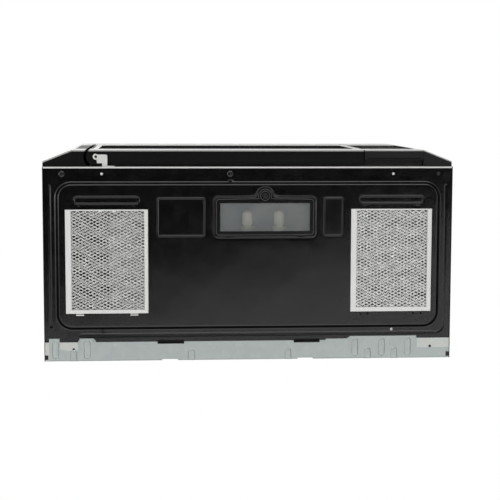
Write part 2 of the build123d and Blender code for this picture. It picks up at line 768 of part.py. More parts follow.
# ---- Microwave generator ----
guide_bottom = magnetron_z - guide_below
guide_top = magnetron_z + guide_above
with BuildPart() as waveguide:
    block(cavity_right + sheet, guide_outer, magnetron_y - guide_half, magnetron_y + guide_half,
          guide_bottom, guide_top)
    block(cavity_right, guide_outer - sheet, magnetron_y - guide_half + sheet,
          magnetron_y + guide_half - sheet, guide_bottom + sheet, guide_top - sheet,
          mode=Mode.SUBTRACT)
    rod((guide_outer - 2 * sheet, magnetron_y, magnetron_z), (1, 0, 0), guide_hole, 4 * sheet,
        mode=Mode.SUBTRACT)
save(waveguide, "waveguide")

with BuildPart() as waveguide_cover:
    with BuildSketch(facing_side(cavity_right - mica_thick)):
        with Locations((magnetron_y, magnetron_z)):
            Rectangle(2 * (guide_port[0] + mica_lap), 2 * (guide_port[1] + mica_lap))
    extrude(amount=mica_thick)
save(waveguide_cover, "waveguide_cover")

with BuildPart() as magnetron:
    rod((guide_outer - antenna[1], magnetron_y, magnetron_z), (1, 0, 0), *antenna)
    block(guide_outer, guide_outer + yoke_plate, magnetron_y - yoke_half - yoke_flange,
          magnetron_y + yoke_half + yoke_flange, magnetron_z - yoke_half, magnetron_z + yoke_half)
    with BuildSketch(facing_side(guide_outer)) as anode_core:
        with Locations((magnetron_y, magnetron_z)):
            RegularPolygon(anode[0], 8)
    extrude(anode_core.sketch, amount=anode[1])
    for fin in range(fin_count):
        x = guide_outer + fin_pitch * (fin + 1)
        block(x, x + fin_thick, magnetron_y - yoke_half, magnetron_y + yoke_half,
              magnetron_z - yoke_half, magnetron_z + yoke_half)
    for side in (-1, 1):
        z0, z1 = sorted((magnetron_z + side * yoke_half, magnetron_z + side * (yoke_half - yoke_plate)))
        block(guide_outer, guide_outer + anode[1], magnetron_y - yoke_half, magnetron_y + yoke_half,
              z0, z1)
    block(guide_outer + anode[1], guide_outer + anode[1] + choke_box, magnetron_y - yoke_half,
          magnetron_y + yoke_half, magnetron_z - yoke_half, magnetron_z + yoke_half)
save(magnetron, "magnetron")

# ---- Component bay ----
with BuildPart() as component_tray:
    with BuildSketch(facing_front(cavity_front)):
        rect(cavity_right + sheet, inner_half, tray_level - sheet, tray_level)
        rect(cavity_right + sheet, cavity_right + 2 * sheet, tray_level, tray_level + tray_upstand)
        rect(inner_half - sheet, inner_half, tray_level, tray_level + tray_upstand)
    extrude(amount=-(rear - sheet - upright_depth - cavity_front))
    # Notch that the door's release lever passes through, and slots under the fan.
    block(lever_x[0] - lever_space, lever_x[1] + lever_space, cavity_front,
          lever_y + 3 * lever_space, tray_level - sheet, tray_level, mode=Mode.SUBTRACT)
    with BuildSketch(level(tray_level)) as vents:
        with Locations((fan_x, fan_y[0])):
            with GridLocations(vent_pitch, 0, vent_count, 1):
                Rectangle(*vent_slot)
    extrude(vents.sketch, amount=-sheet, mode=Mode.SUBTRACT)
save(component_tray, "component_tray")

with BuildPart() as transformer_core:
    with BuildSketch(facing_front(core_y - core_half[1])):
        rect(core_x - core_half[0], core_x + core_half[0], tray_level, tray_level + core_tall)
        for side in (-1, 1):
            x0, x1 = sorted((core_x + side * core_leg, core_x + 2 * side * core_leg))
            rect(x0, x1, tray_level + core_leg, tray_level + core_tall - core_leg,
                 mode=Mode.SUBTRACT)
    extrude(amount=-2 * core_half[1])
    block(core_x - core_base[0], core_x + core_base[0], core_y - core_base[1],
          core_y + core_base[1], tray_level, tray_level + core_base[2])
save(transformer_core, "transformer_core")

with BuildPart() as transformer_windings:
    for z in (tray_level + winding_start, tray_level + winding_start + winding_tall + winding_space):
        with BuildSketch(level(z)) as winding:
            with Locations((core_x, core_y)):
                RectangleRounded(4 * core_leg - winding_play, 2 * winding_reach, winding_corner)
                Rectangle(2 * core_leg, 2 * core_half[1], mode=Mode.SUBTRACT)
        extrude(winding.sketch, amount=winding_tall)
save(transformer_windings, "transformer_windings")

capacitor_top = tray_level + capacitor_tall
diode_z = capacitor_top + terminal[2] + diode[0] + slip
terminals = (capacitor_y - terminal_reach, capacitor_y + terminal_reach)
with BuildPart() as hv_capacitor:
    with BuildSketch(level(tray_level)):
        with Locations((capacitor_x, capacitor_y)):
            SlotOverall(*capacitor_size, rotation=90)
    extrude(amount=capacitor_tall)
    for y in terminals:
        with Locations((capacitor_x, y, capacitor_top + terminal[2] / 2)):
            Box(*terminal)
    # The diode that bridges the terminals, a separate solid on one of them.
    start = terminals[0] - terminal[1] / 2
    rod((capacitor_x, start, diode_z), (0, 1, 0), *diode)
    block(capacitor_x - terminal[0] / 2, capacitor_x + terminal[0] / 2, start,
          start + terminal[1], capacitor_top + terminal[2] + slip, diode_z)
save(hv_capacitor, "hv_capacitor")

# ---- Cooling fan of the component bay ----
with BuildPart() as cooling_fan_motor:
    block(fan_x - fan_motor_half, fan_x + fan_motor_half, fan_y[1] + fan_arm[0] + fan_arm[1],
          rear - sheet, fan_z - fan_motor_half, fan_z + fan_motor_half)
    chamfer(cooling_fan_motor.edges().filter_by(Axis.Y), fan_motor_bevel)
    # Shroud plate with a round throat, carried by the motor on four arms.
    with BuildSketch(facing_front(fan_y[1] + fan_arm[0])) as shroud:
        with Locations((fan_x, fan_z)):
            Rectangle(2 * shroud_half, 2 * shroud_half)
            Circle(fan_radius + shroud_play, mode=Mode.SUBTRACT)
    extrude(shroud.sketch, amount=-shroud_plate)
    with BuildSketch(facing_front(fan_y[1] + fan_arm[0])) as arms:
        with Locations((fan_x, fan_z)):
            for turn in (45, 135):
                Rectangle(2 * shroud_half * shroud_arm, fan_arm[2], rotation=turn)
            Circle(fan_hub)
    extrude(arms.sketch, amount=-fan_arm[1])
    rod((fan_x, fan_y[1], fan_z), (0, 1, 0), fan_shaft[0] + slip, fan_shaft[1] + 2,
        mode=Mode.SUBTRACT)
save(cooling_fan_motor, "cooling_fan_motor")

with BuildPart() as cooling_fan_blade:
    rod((fan_x, fan_y[0], fan_z), (0, 1, 0), fan_hub, fan_thick)
    rod((fan_x, fan_y[1], fan_z), (0, 1, 0), *fan_shaft)
    with Locations(Plane(origin=(fan_x, sum(fan_y) / 2, fan_z), z_dir=(0, 1, 0))):
        with PolarLocations((fan_hub - blade_root + fan_radius) / 2, fan_blades):
            Box(fan_radius - fan_hub + blade_root, fan_blade[0], fan_blade[1],
                rotation=(fan_blade[2], 0, 0))
save(cooling_fan_blade, "cooling_fan_blade")


# ---- Exhaust blower ----
def scroll_profile(x, wall, top):
    """Round fan casing with its outlet turned up, seen from the side, smaller all round by wall."""
    with BuildSketch(facing_side(x)) as profile:
        spot((blower_y, blower_z), scroll_radius - wall)
        rect(blower_y - scroll_throat + wall, blower_y + scroll_radius - wall, blower_z, top)
    return profile.sketch


scroll_starts = (blower_x - scroll_inner - scroll_width, blower_x + scroll_inner)
duct_x = (blower_x - duct_width / 2, blower_x + duct_width / 2)
duct_ends = (duct_y - duct_depth / 2, duct_y + duct_depth / 2)
damper_axis = damper_z + damper_thick / 2
with BuildPart() as blower_housing:
    for x in scroll_starts:
        extrude(scroll_profile(x, 0.0, duct_base), amount=scroll_width)
    block(duct_x[0] - scroll_wall, duct_x[1] + scroll_wall, duct_ends[0] - scroll_wall,
          duct_ends[1] + scroll_wall, duct_base, body_top)
    block(*duct_x, *duct_ends, duct_base + scroll_wall, body_top, mode=Mode.SUBTRACT)
    for x in scroll_starts:
        extrude(scroll_profile(x + scroll_wall, scroll_wall, damper_z),
                amount=scroll_width - 2 * scroll_wall, mode=Mode.SUBTRACT)
        rod((x - 1, blower_y, blower_z), (1, 0, 0), inlet_radius, scroll_width + 2,
            mode=Mode.SUBTRACT)
    # Bores for the damper's pivots, and the stop that the damper rests on.
    rod((duct_x[0] - 2 * scroll_wall, pivot_y, damper_axis), (1, 0, 0), damper_pivot[0] + slip,
        duct_width + 4 * scroll_wall, mode=Mode.SUBTRACT)
    block(blower_x - damper_stop[0], blower_x + damper_stop[0], duct_ends[0],
          duct_ends[0] + damper_stop[1], damper_z - gap - damper_stop[2], damper_z - gap)
save(blower_housing, "blower_housing")

with BuildPart() as motor:
    rod((blower_x - blower_motor[1] / 2, blower_y, blower_z), (1, 0, 0), *blower_motor[:2])
    chamfer(motor.edges().filter_by(GeomType.CIRCLE), blower_motor[2])
    block(blower_x - motor_bracket[0], blower_x + motor_bracket[0], blower_y - motor_bracket[1],
          blower_y + motor_bracket[1], blower_z, duct_base)
    rod((blower_x - blower_motor[1], blower_y, blower_z), (1, 0, 0), blower_shaft_radius + slip,
        2 * blower_motor[1], mode=Mode.SUBTRACT)
save(motor, "blower_motor")

with BuildPart() as blower_shaft:
    rod((blower_x - blower_shaft_length / 2, blower_y, blower_z), (1, 0, 0), blower_shaft_radius,
        blower_shaft_length)
save(blower_shaft, "blower_shaft")


def wheel_plane(x):
    """Sketch plane square to the blower's shaft."""
    return Plane(origin=(x, blower_y, blower_z), z_dir=(1, 0, 0))


with BuildPart() as blower_wheels:
    # Each wheel: a disc at the motor's side, slanted blades, and a ring at the inlet.
    for side in (-1, 1):
        disc_x = blower_x + side * (scroll_inner + (scroll_width - rotor_width) / 2)
        with BuildSketch(wheel_plane(disc_x)) as disc:
            Circle(rotor_radius)
            Circle(blower_shaft_radius, mode=Mode.SUBTRACT)
        extrude(disc.sketch, amount=side * rotor_disc)
        with BuildSketch(wheel_plane(disc_x)) as blades:
            with PolarLocations(rotor_radius - rotor_ring / 2, blade_count):
                Rectangle(blade[0], blade[1], rotation=blade[2])
        extrude(blades.sketch, amount=side * rotor_width)
        with BuildSketch(wheel_plane(disc_x + side * (rotor_width - rotor_disc))) as ring:
            Circle(rotor_radius)
            Circle(rotor_radius - rotor_ring, mode=Mode.SUBTRACT)
        extrude(ring.sketch, amount=side * rotor_disc)
save(blower_wheels, "blower_wheels")

with BuildPart() as damper_flap:
    block(duct_x[0] + damper_space, duct_x[1] - damper_space, duct_ends[0] + damper_space, pivot_y,
          damper_z, damper_z + damper_thick)
    rod((duct_x[0] - 1, pivot_y, damper_axis), (1, 0, 0), damper_pivot[0], duct_width + 2)
save(damper_flap, "damper_flap")


# ---- Fascia ----
def fascia_plan(z, x0, x1, inset=0.0, socket=0.0, back=0.0):
    """Bevelled plan of the fascia between two widths, smaller all round by inset. A socket
    radius hollows it about the door's pin."""
    with BuildSketch(level(z)) as plan:
        with BuildLine():
            Polyline(
                (-half_width + inset, body_front + back),
                (-half_width + inset, bevel_y + inset / 2),
                (-bevel_x + inset / 3, front + inset), (bevel_x - inset / 3, front + inset),
                (half_width - inset, bevel_y + inset / 2),
                (half_width - inset, body_front + back), close=True)
        make_face()
        rect(x0 + inset, x1 - inset, front - 1, body_front + back, mode=Mode.INTERSECT)
        if socket:
            spot((hinge_x, hinge_y), socket + inset, mode=Mode.SUBTRACT)
    return plan.sketch


def hollow_fascia(z0, z1, x0, x1, socket=0.0):
    """Moulded piece of the fascia between two heights and widths, open at the back."""
    extrude(fascia_plan(z0, x0, x1, 0.0, socket), amount=z1 - z0)
    extrude(fascia_plan(z0 + fascia_wall, x0, x1, fascia_wall, socket, 1.0),
            amount=z1 - z0 - 2 * fascia_wall, mode=Mode.SUBTRACT)


slot_step = (2 * bevel_x - slot_bar) / slot_columns
with BuildPart() as vent_grille:
    hollow_fascia(grille_bottom, body_top, -half_width, half_width)
    with BuildSketch(facing_front(front + fascia_wall + 1)) as slots:
        with Locations((0, (grille_bottom + body_top) / 2)):
            with GridLocations(slot_step, slot_pitch, slot_columns, slot_rows):
                Rectangle(slot_step - slot_bar, slot_height)
    extrude(slots.sketch, amount=fascia_wall + 2, mode=Mode.SUBTRACT)
save(vent_grille, "vent_grille")

with BuildPart() as charcoal_filter:
    block(port[0] - charcoal_lap[0], port[1] + charcoal_lap[0], cavity_front,
          cavity_front + charcoal_thick, port[2] - charcoal_lap[1], port[3] + charcoal_lap[1])
    cell_x = (port[1] - port[0]) / charcoal_cells[0]
    cell_z = (port[3] - port[2]) / charcoal_cells[1]
    with BuildSketch(facing_front(cavity_front)) as cells:
        with Locations(((port[0] + port[1]) / 2, (port[2] + port[3]) / 2)):
            with GridLocations(cell_x, cell_z, *charcoal_cells):
                Rectangle(cell_x - charcoal_bar, cell_z - charcoal_bar)
    extrude(cells.sketch, amount=-charcoal_thick, mode=Mode.SUBTRACT)
save(charcoal_filter, "charcoal_filter")

with BuildPart() as left_wing:
    hollow_fascia(fascia_bottom, door_top, -half_width, hinge_x, hinge_socket)
save(left_wing, "left_wing")

with BuildPart() as right_wing:
    hollow_fascia(fascia_bottom, door_top, control_right + wing_gap, half_width)
save(right_wing, "right_wing")

touch = (control_left + touch_inset, control_right - touch_inset, *glass_band)
raised_y = front + raised_rear[2]
with BuildPart() as control_panel:
    hollow_fascia(fascia_bottom, door_top, control_left, control_right)
    # Raised rear half of the underside.
    block(control_left + raised_rear[0], control_right - raised_rear[1], raised_y, body_front,
          fascia_bottom, fascia_bottom + raised_rear[3] + fascia_wall)
    block(control_left, control_right, raised_y + fascia_wall, body_front, fascia_bottom - 1,
          fascia_bottom + raised_rear[3], mode=Mode.SUBTRACT)
    # Glass opening with a ledge behind it, the button's opening and four board posts.
    with BuildSketch(facing_front(front + fascia_wall)) as glass_hole:
        rect(*touch)
    extrude(glass_hole.sketch, amount=fascia_wall, mode=Mode.SUBTRACT)
    with BuildSketch(facing_front(front + 2 * fascia_wall)) as ledge:
        rect(control_left + fascia_wall, control_right - fascia_wall, touch[2] - touch_ledge,
             touch[3] + touch_ledge)
        rect(touch[0] + touch_ledge, touch[1] - touch_ledge, touch[2] + touch_ledge,
             touch[3] - touch_ledge, mode=Mode.SUBTRACT)
    extrude(ledge.sketch, amount=fascia_wall)
    with BuildSketch(facing_front(front + fascia_wall + 1)) as button_hole:
        rect(button_x[0] - gap, button_x[1] + gap, button_z[0] - gap, button_z[1] + gap)
    extrude(button_hole.sketch, amount=fascia_wall + 2, mode=Mode.SUBTRACT)
    for x in (touch[0] + post[0] / 2, touch[1] - post[0] / 2):
        for z in (touch[2] + post[0] / 2, touch[3] - post[0] / 2):
            with Locations((x, front + 2 * fascia_wall + post[1] / 2, z)):
                Box(post[0], post[1], post[0])
save(control_panel, "control_panel")

with BuildPart() as touch_panel:
    with BuildSketch(facing_front(front + fascia_wall)):
        rect(touch[0] + touch_fit, touch[1] - touch_fit, touch[2] + touch_fit, touch[3] - touch_fit)
    extrude(amount=fascia_wall - touch_fit)
save(touch_panel, "touch_panel")

board_y = front + 2 * fascia_wall + post[1]
board_back = board_y + board_thick
with BuildPart() as control_board:
    block(touch[0], touch[1], board_y, board_back, touch[2], touch[3])
    relays = [(relay[1] * number + relay[0], touch[3] - touch[2] - relay_drop, relay[0])
              for number in range(relay_count)]
    for x, z, size in (*relays, *board_blocks):
        block(touch[0] + x, touch[0] + x + size, board_back, board_back + board_tall,
              touch[2] + z, touch[2] + z + size)
    block(touch[0] + display[0], touch[1] - display[0], board_y - display[1], board_y,
          touch[3] - display[2], touch[3] - display[3])
save(control_board, "control_board")

button_middle = sum(button_z) / 2
stem_x = lever_x[0] + lever_thick / 2
with BuildPart() as door_button:
    with BuildSketch(facing_front(front + button_depth)):
        rect(*button_x, *button_z)
    extrude(amount=button_depth)
    chamfer(door_button.faces().sort_by(Axis.Y)[0].edges(), button_edge)
    rod((stem_x, front + button_depth, button_middle), (0, 1, 0), *button_stem)
    with Locations((stem_x, front + button_depth + button_flange[2] / 2, button_middle)):
        Box(button_flange[0], button_flange[2], button_flange[1])
save(door_button, "door_button")

# ---- Latch behind the front frame ----
latch_x = (hook_x - latch_sides[0], hook_x + latch_sides[1])
with BuildPart() as latch_body:
    block(*latch_x, cavity_front, body_front + latch_depth, cavity_floor + latch_ends[0],
          cavity_top - latch_ends[1])
    for z in hook_levels:
        block(hook_x - hook_hole[0], hook_x + hook_hole[1], cavity_front,
              body_front + latch_pocket, z - hook_hole[2], z + hook_hole[3], mode=Mode.SUBTRACT)
    rod((latch_x[1], lever_y, lever_pivot_z), (1, 0, 0), lever_hub, lever_x[0] - latch_x[1] - gap)
    rod((latch_x[1], lever_y, lever_pivot_z), (1, 0, 0), lever_pin, lever_x[1] - latch_x[1] + 1)
save(latch_body, "latch_body")

half_arm = lever_arm / 2
with BuildPart() as release_lever:
    with BuildSketch(facing_side(lever_x[0])):
        spot((lever_y, lever_pivot_z), lever_hub)
        rect(lever_y - half_arm, lever_y + half_arm, tray_level, lever_pivot_z + lever_reach)
        with BuildLine():
            Polyline((lever_y - half_arm, tray_level + lever_arm), (lever_y + half_arm, tray_level),
                     (lever_y - half_arm + 1, button_middle - half_arm),
                     (stem_end + gap, button_middle - half_arm),
                     (stem_end + gap, button_middle + half_arm), close=True)
        make_face()
        spot((lever_y, lever_pivot_z), lever_pin + slip, mode=Mode.SUBTRACT)
    extrude(amount=lever_thick)
save(release_lever, "release_lever")

switch_starts = (hook_levels[0], sum(hook_levels) / 2, hook_levels[1])
switch_y = (lever_y - switch_front, lever_y - switch_front + switch_size[1])
with BuildPart() as interlock_switches:
    for start_z, share in zip(switch_starts, switch_shares):
        z = start_z + share * switch_size[2]
        block(latch_x[1], latch_x[1] + switch_size[0], *switch_y, z, z + switch_size[2])
        for lift in (switch_lug[0], switch_size[2] - switch_lug[0] - switch_lug[1]):
            block(latch_x[1] + switch_lug[0], latch_x[1] + switch_lug[0] + switch_lug[1],
                  switch_y[1], switch_y[1] + switch_lug[2], z + lift, z + lift + switch_lug[1])
save(interlock_switches, "interlock_switches")

# ---- Cooktop lamp ----
lamp_box = (window_x[0] - lamp_box_space, window_x[1] + lamp_box_space,
            window_y[0] - lamp_box_space, window_y[1] + lamp_box_space)
with BuildPart() as lamp_housing:
    block(*lamp_box, lamp_floor, lamp_floor + lamp_box_height)
    block(lamp_box[0] + sheet, lamp_box[1] - sheet, lamp_box[2] + sheet, lamp_box[3] - sheet,
          lamp_floor - 1, lamp_floor + lamp_box_height - sheet, mode=Mode.SUBTRACT)
save(lamp_housing, "lamp_housing")

lamp_rear = lamp_box[3] - sheet
bulb_rear = lamp_rear - socket_floor
bulbs = [lamp_x + offset for offset in bulb_offset]
with BuildPart() as lamp_sockets:
    for x in bulbs:
        rod((x, lamp_rear, bulb_z), (0, -1, 0), socket_radius, socket_reach + socket_floor)
        rod((x, bulb_rear, bulb_z), (0, -1, 0), socket_bore, socket_reach + 1, mode=Mode.SUBTRACT)
save(lamp_sockets, "lamp_sockets")

bulb_length = bulb_rear - window_y[0] - bulb_tip_space
with BuildPart() as cooktop_bulbs:
    # Tube bulb: a narrow base, a straight wall, and a tapered end.
    for x in bulbs:
        with BuildSketch(Plane(origin=(x, bulb_rear, bulb_z), x_dir=(0, -1, 0), z_dir=(1, 0, 0))) as half:
            with BuildLine():
                Polyline((0, 0), (0, bulb_base[0]), (bulb_base[1], bulb_base[0]),
                         (bulb_base[1], bulb_radius), (bulb_length - bulb_taper, bulb_radius),
                         (bulb_length, bulb_radius - bulb_taper), (bulb_length, 0), close=True)
            make_face()
        revolve(half.sketch, axis=Axis((x, bulb_rear, bulb_z), (0, -1, 0)))
save(cooktop_bulbs, "cooktop_bulbs")

cover_z = gap
knuckle_y = cover_y[1] + cover_thick
with BuildPart() as lamp_cover:
    with BuildSketch(level(cover_z)) as cover:
        rect(*cover_x, *cover_y, cover_corner)
        spot(lamp_screw, screw_bump - cover_play)
        rect(*window_x, *window_y, mode=Mode.SUBTRACT)
        spot(lamp_screw, cover_screw_radius + screw_play, mode=Mode.SUBTRACT)
    extrude(cover.sketch, amount=cover_thick)
    with BuildSketch(level(cover_z)) as counterbore:
        spot(lamp_screw, cover_screw_head[0] + screw_play)
    extrude(counterbore.sketch, amount=cover_screw_head[1], mode=Mode.SUBTRACT)
    for x in (cover_x[0] + knuckle_inset, cover_x[1] - knuckle_inset):
        rod((x - knuckle_length / 2, knuckle_y, cover_z + cover_thick / 2), (1, 0, 0),
            cover_thick / 2, knuckle_length)
        block(x - knuckle_length / 2, x + knuckle_length / 2, cover_y[1], knuckle_y, cover_z,
              cover_z + cover_thick)
save(lamp_cover, "lamp_cover")

lens_z = cover_z + cover_thick
with BuildPart() as lamp_lens:
    block(window_x[0] - lens_ledge, window_x[1] + lens_ledge, window_y[0] - lens_ledge,
          window_y[1] + lens_ledge, lens_z, lens_z + lens_thick)
save(lamp_lens, "lamp_lens")

with BuildPart() as lamp_cover_screw:
    rod((*lamp_screw, cover_z), (0, 0, 1), *cover_screw_head)
    rod((*lamp_screw, cover_z), (0, 0, 1), cover_screw_radius, cover_screw_length)
save(lamp_cover_screw, "lamp_cover_screw")

oven_lamp_x = cavity_left + oven_lamp_offset[0]
oven_lamp_y = turn_y + oven_lamp_offset[1]
with BuildPart() as oven_lamp:
    # Bracket on the cavity's roof, with a socket and a small bulb lying in it.
    roof = cavity_top + sheet
    block(oven_lamp_x - lamp_base[0], oven_lamp_x + lamp_base[0], oven_lamp_y - lamp_base[1],
          oven_lamp_y + lamp_base[1], roof, roof + 2 * sheet)
    block(oven_lamp_x - lamp_base[0], oven_lamp_x - lamp_base[0] + 2 * sheet,
          oven_lamp_y - lamp_base[1], oven_lamp_y + lamp_base[1], roof, roof + lamp_bracket)
    lamp_start = oven_lamp_x - lamp_base[0] + 2 * sheet
    rod((lamp_start, oven_lamp_y, roof + lamp_bulb_z), (1, 0, 0), *lamp_socket)
    rod((lamp_start + lamp_socket[1], oven_lamp_y, roof + lamp_bulb_z), (1, 0, 0), *lamp_bulb)
save(oven_lamp, "oven_lamp")


# ---- Grease filters ----
def filter_frame(x, tabs):
    """Folded aluminium frame of a grease filter, with two hooks on its rear edge where asked."""
    half = filter_width / 2 - rail
    with BuildPart() as frame:
        with BuildSketch(level(gap)) as face:
            with Locations((x, filter_y)):
                Rectangle(filter_width, filter_length)
            rect(x - half, x + half, filter_front + front_rail, filter_rear - rail,
                 mode=Mode.SUBTRACT)
            if tabs:
                with Locations((x, filter_rear + tab_reach / 2)):
                    with GridLocations(2 * tab_offset, 0, 2, 1):
                        Rectangle(tab_width, tab_reach)
        extrude(face.sketch, amount=strip)
        with BuildSketch(level(gap + strip)) as sides:
            with Locations((x, filter_y)):
                Rectangle(filter_width, filter_length)
                Rectangle(filter_width - 2, filter_length - 2, mode=Mode.SUBTRACT)
        extrude(sides.sketch, amount=filter_thick - 2 * strip)
        with BuildSketch(level(gap + filter_thick - strip)) as rear_face:
            with Locations((x, filter_y)):
                Rectangle(filter_width, filter_length)
                Rectangle(filter_width - 2 * rail, filter_length - 2 * rail, mode=Mode.SUBTRACT)
        extrude(rear_face.sketch, amount=strip)
    return frame


def filter_mesh(x):
    """Mesh pad in the frame, with staggered diamond openings through it."""
    cell_x = (filter_width - 2 * rail) / mesh_columns
    cell_y = (filter_length - 2 * rail) / mesh_rows
    with BuildPart() as mesh:
        with BuildSketch(level(gap + strip)) as pad:
            with Locations((x, filter_y)):
                Rectangle(filter_width - 2, filter_length - 2)
                for columns, rows in ((mesh_columns, mesh_rows // 2 + 1),
                                      (mesh_columns - 1, mesh_rows // 2)):
                    with GridLocations(cell_x, 2 * cell_y, columns, rows):
                        Rectangle(cell_x * mesh_open, cell_x * mesh_open, rotation=45,
                                  mode=Mode.SUBTRACT)
        extrude(pad.sketch, amount=filter_thick - 2 * strip)
    return mesh


for name, x, tabs in (("left", filter_x[0], True), ("right", filter_x[1], False)):
    save(filter_frame(x, tabs), f"filter_frame_{name}")
    save(filter_mesh(x), f"filter_mesh_{name}")

well_edge = filter_rear + filter_play
with BuildPart() as filter_clips:
    for x in (filter_x[1] - tab_offset, filter_x[1] + tab_offset):
        block(x - clip_half, x + clip_half, well_edge + strip, well_edge + tab_reach + filter_play,
              clip_z, lip_z - 3)
        block(x - clip_half, x + clip_half, filter_rear + gap, well_edge + strip, clip_z,
              clip_z + strip)
save(filter_clips, "filter_clips")

# ---- Turntable ----
motor_top = cavity_floor - sheet
with BuildPart() as turntable_motor:
    rod((turn_x, turn_y, motor_top - motor_height), (0, 0, 1), motor_radius, motor_height)
    for side in (-1, 1):
        with Locations((turn_x + side * motor_radius, turn_y, motor_top - strip / 2)):
            Box(motor_ear, motor_ear, strip)
    rod((turn_x, turn_y, motor_top - shaft_length - gap), (0, 0, 1), shaft_radius + slip,
        shaft_length + gap, mode=Mode.SUBTRACT)
save(turntable_motor, "turntable_motor")

with BuildPart() as drive_coupler:
    rod((turn_x, turn_y, motor_top - shaft_length), (0, 0, 1), shaft_radius, shaft_length + 2)
    rod((turn_x, turn_y, cavity_floor + gap), (0, 0, 1), coupler_radius,
        tray_z - cavity_floor - gap - 1)
    with Locations((turn_x, turn_y, tray_z - 1 - coupler_arm[2] / 2)):
        with PolarLocations(coupler_radius + 1, 3):
            Box(*coupler_arm)
save(drive_coupler, "drive_coupler")

with BuildPart() as glass_tray:
    with BuildSketch(Plane.XZ) as half:
        with BuildLine():
            flat = tray_radius - tray_rim[0]
            Polyline((0, tray_z), (flat, tray_z), (tray_radius, tray_z + tray_rim[1]),
                     (tray_radius - tray_rim[2], tray_z + tray_rim[1]),
                     (flat - 2, tray_z + tray_thick), (0, tray_z + tray_thick), close=True)
        make_face()
    revolve(Pos(turn_x, turn_y, 0) * half.sketch, axis=Axis((turn_x, turn_y, 0), (0, 0, 1)))
    # Lugs under the glass that the coupler's arms push round.
    with Locations((turn_x, turn_y, tray_z - lug[1] / 2)):
        with PolarLocations(lug_circle, 3, start_angle=60):
            Box(lug[0], lug[0], lug[1])
save(glass_tray, "glass_tray")


def spoke(turn, start):
    """Point in the axles' plane at a turn and distance from the turntable's middle, and the
    outward direction there."""
    c, s = math.cos(math.radians(turn)), math.sin(math.radians(turn))
    return (turn_x + start * c, turn_y + start * s, axle_z), (c, s, 0)


wheel_start = wheel_circle - wheel_width / 2
wheel_turns = [90 + 360 * number / wheel_count for number in range(wheel_count)]
with BuildPart() as roller_ring:
    with BuildSketch(level(axle_z - ring_thick / 2)) as band:
        with Locations((turn_x, turn_y)):
            Circle(wheel_start - 1)
            Circle(wheel_start - 1 - ring_width, mode=Mode.SUBTRACT)
    extrude(band.sketch, amount=ring_thick)
    for turn in wheel_turns:
        rod(*spoke(turn, wheel_start - ring_width / 2), axle_radius,
            wheel_width + ring_width / 2 + axle_end)
save(roller_ring, "roller_ring")

for number, turn in enumerate(wheel_turns, 1):
    with BuildPart() as roller:
        rod(*spoke(turn, wheel_start), wheel_radius, wheel_width)
        rod(*spoke(turn, wheel_start - 1), axle_radius + slip, wheel_width + 2, mode=Mode.SUBTRACT)
    save(roller, f"roller_{number}")


# ---- Door ----
def door_plan(z, inset, back):
    """Plan of the door, round about its pin at the hinge edge, smaller by inset except at the
    back."""
    with BuildSketch(level(z)) as plan:
        spot((hinge_x, hinge_y), hinge_round - inset)
        rect(hinge_x, door_right - inset, front + inset, back)
        rect(hinge_x - hinge_round, door_right, front + inset, back, mode=Mode.INTERSECT)
    return plan.sketch


glass_x = (hinge_x + glass_ends[0], door_right - glass_ends[1])
window = (hinge_x + window_ends[0], door_right - window_ends[1],
          glass_band[0] + window_bands[0], glass_band[1] - window_bands[1])
glass_back = front + skin + glass_thick - glass_seat
panel_y = door_back - inner_panel_thick
inner_panel = (hinge_x + inner_panel_ends[0], door_right - inner_panel_ends[1],
               door_bottom + inner_panel_ends[2], door_top - inner_panel_ends[3])
latch_half = hook_thick / 2 + gap
with BuildPart() as door_skin:
    extrude(door_plan(door_bottom, 0, door_back), amount=door_top - door_bottom)
    extrude(door_plan(door_bottom - 1, skin, door_back + 1), amount=door_top - door_bottom + 2,
            mode=Mode.SUBTRACT)
    with BuildSketch(facing_front(front + skin + 1)) as opening:
        rect(*glass_x, *glass_band)
    extrude(opening.sketch, amount=skin + 2, mode=Mode.SUBTRACT)
save(door_skin, "door_skin")

with BuildPart() as door_body:
    extrude(door_plan(door_bottom, skin, door_back), amount=door_top - door_bottom)
    with BuildSketch(facing_front(door_back)) as through:
        rect(*window)
    extrude(through.sketch, amount=door_back - front, mode=Mode.SUBTRACT)
    # Seat of the glass in front, and of the inner panel at the back.
    with BuildSketch(facing_front(glass_back)) as seat:
        rect(*glass_x, *glass_band)
    extrude(seat.sketch, amount=glass_thick, mode=Mode.SUBTRACT)
    with BuildSketch(facing_front(door_back)) as rear_seat:
        rect(*inner_panel)
    extrude(rear_seat.sketch, amount=inner_panel_thick, mode=Mode.SUBTRACT)
    # Space for the latch bar, and the hinge pins' bores.
    block(hook_x - latch_half, hook_x + latch_half, body_front - latch_bar[0] - 2, panel_y + 1,
          hook_levels[0] - latch_bar[2] - 2 * latch_lift,
          hook_levels[1] + latch_bar[2] + 3 * latch_lift, mode=Mode.SUBTRACT)
    for start, turn in ((door_bottom - 1, 1), (door_top + 1, -1)):
        rod((hinge_x, hinge_y, start), (0, 0, turn), pin_radius, pin_length + 3, mode=Mode.SUBTRACT)
save(door_body, "door_body")

with BuildPart() as door_glass:
    with BuildSketch(facing_front(glass_back)):
        rect(glass_x[0] + glass_fit, glass_x[1] - glass_fit, glass_band[0] + glass_fit,
             glass_band[1] - glass_fit)
    extrude(amount=glass_thick)
save(door_glass, "door_glass")

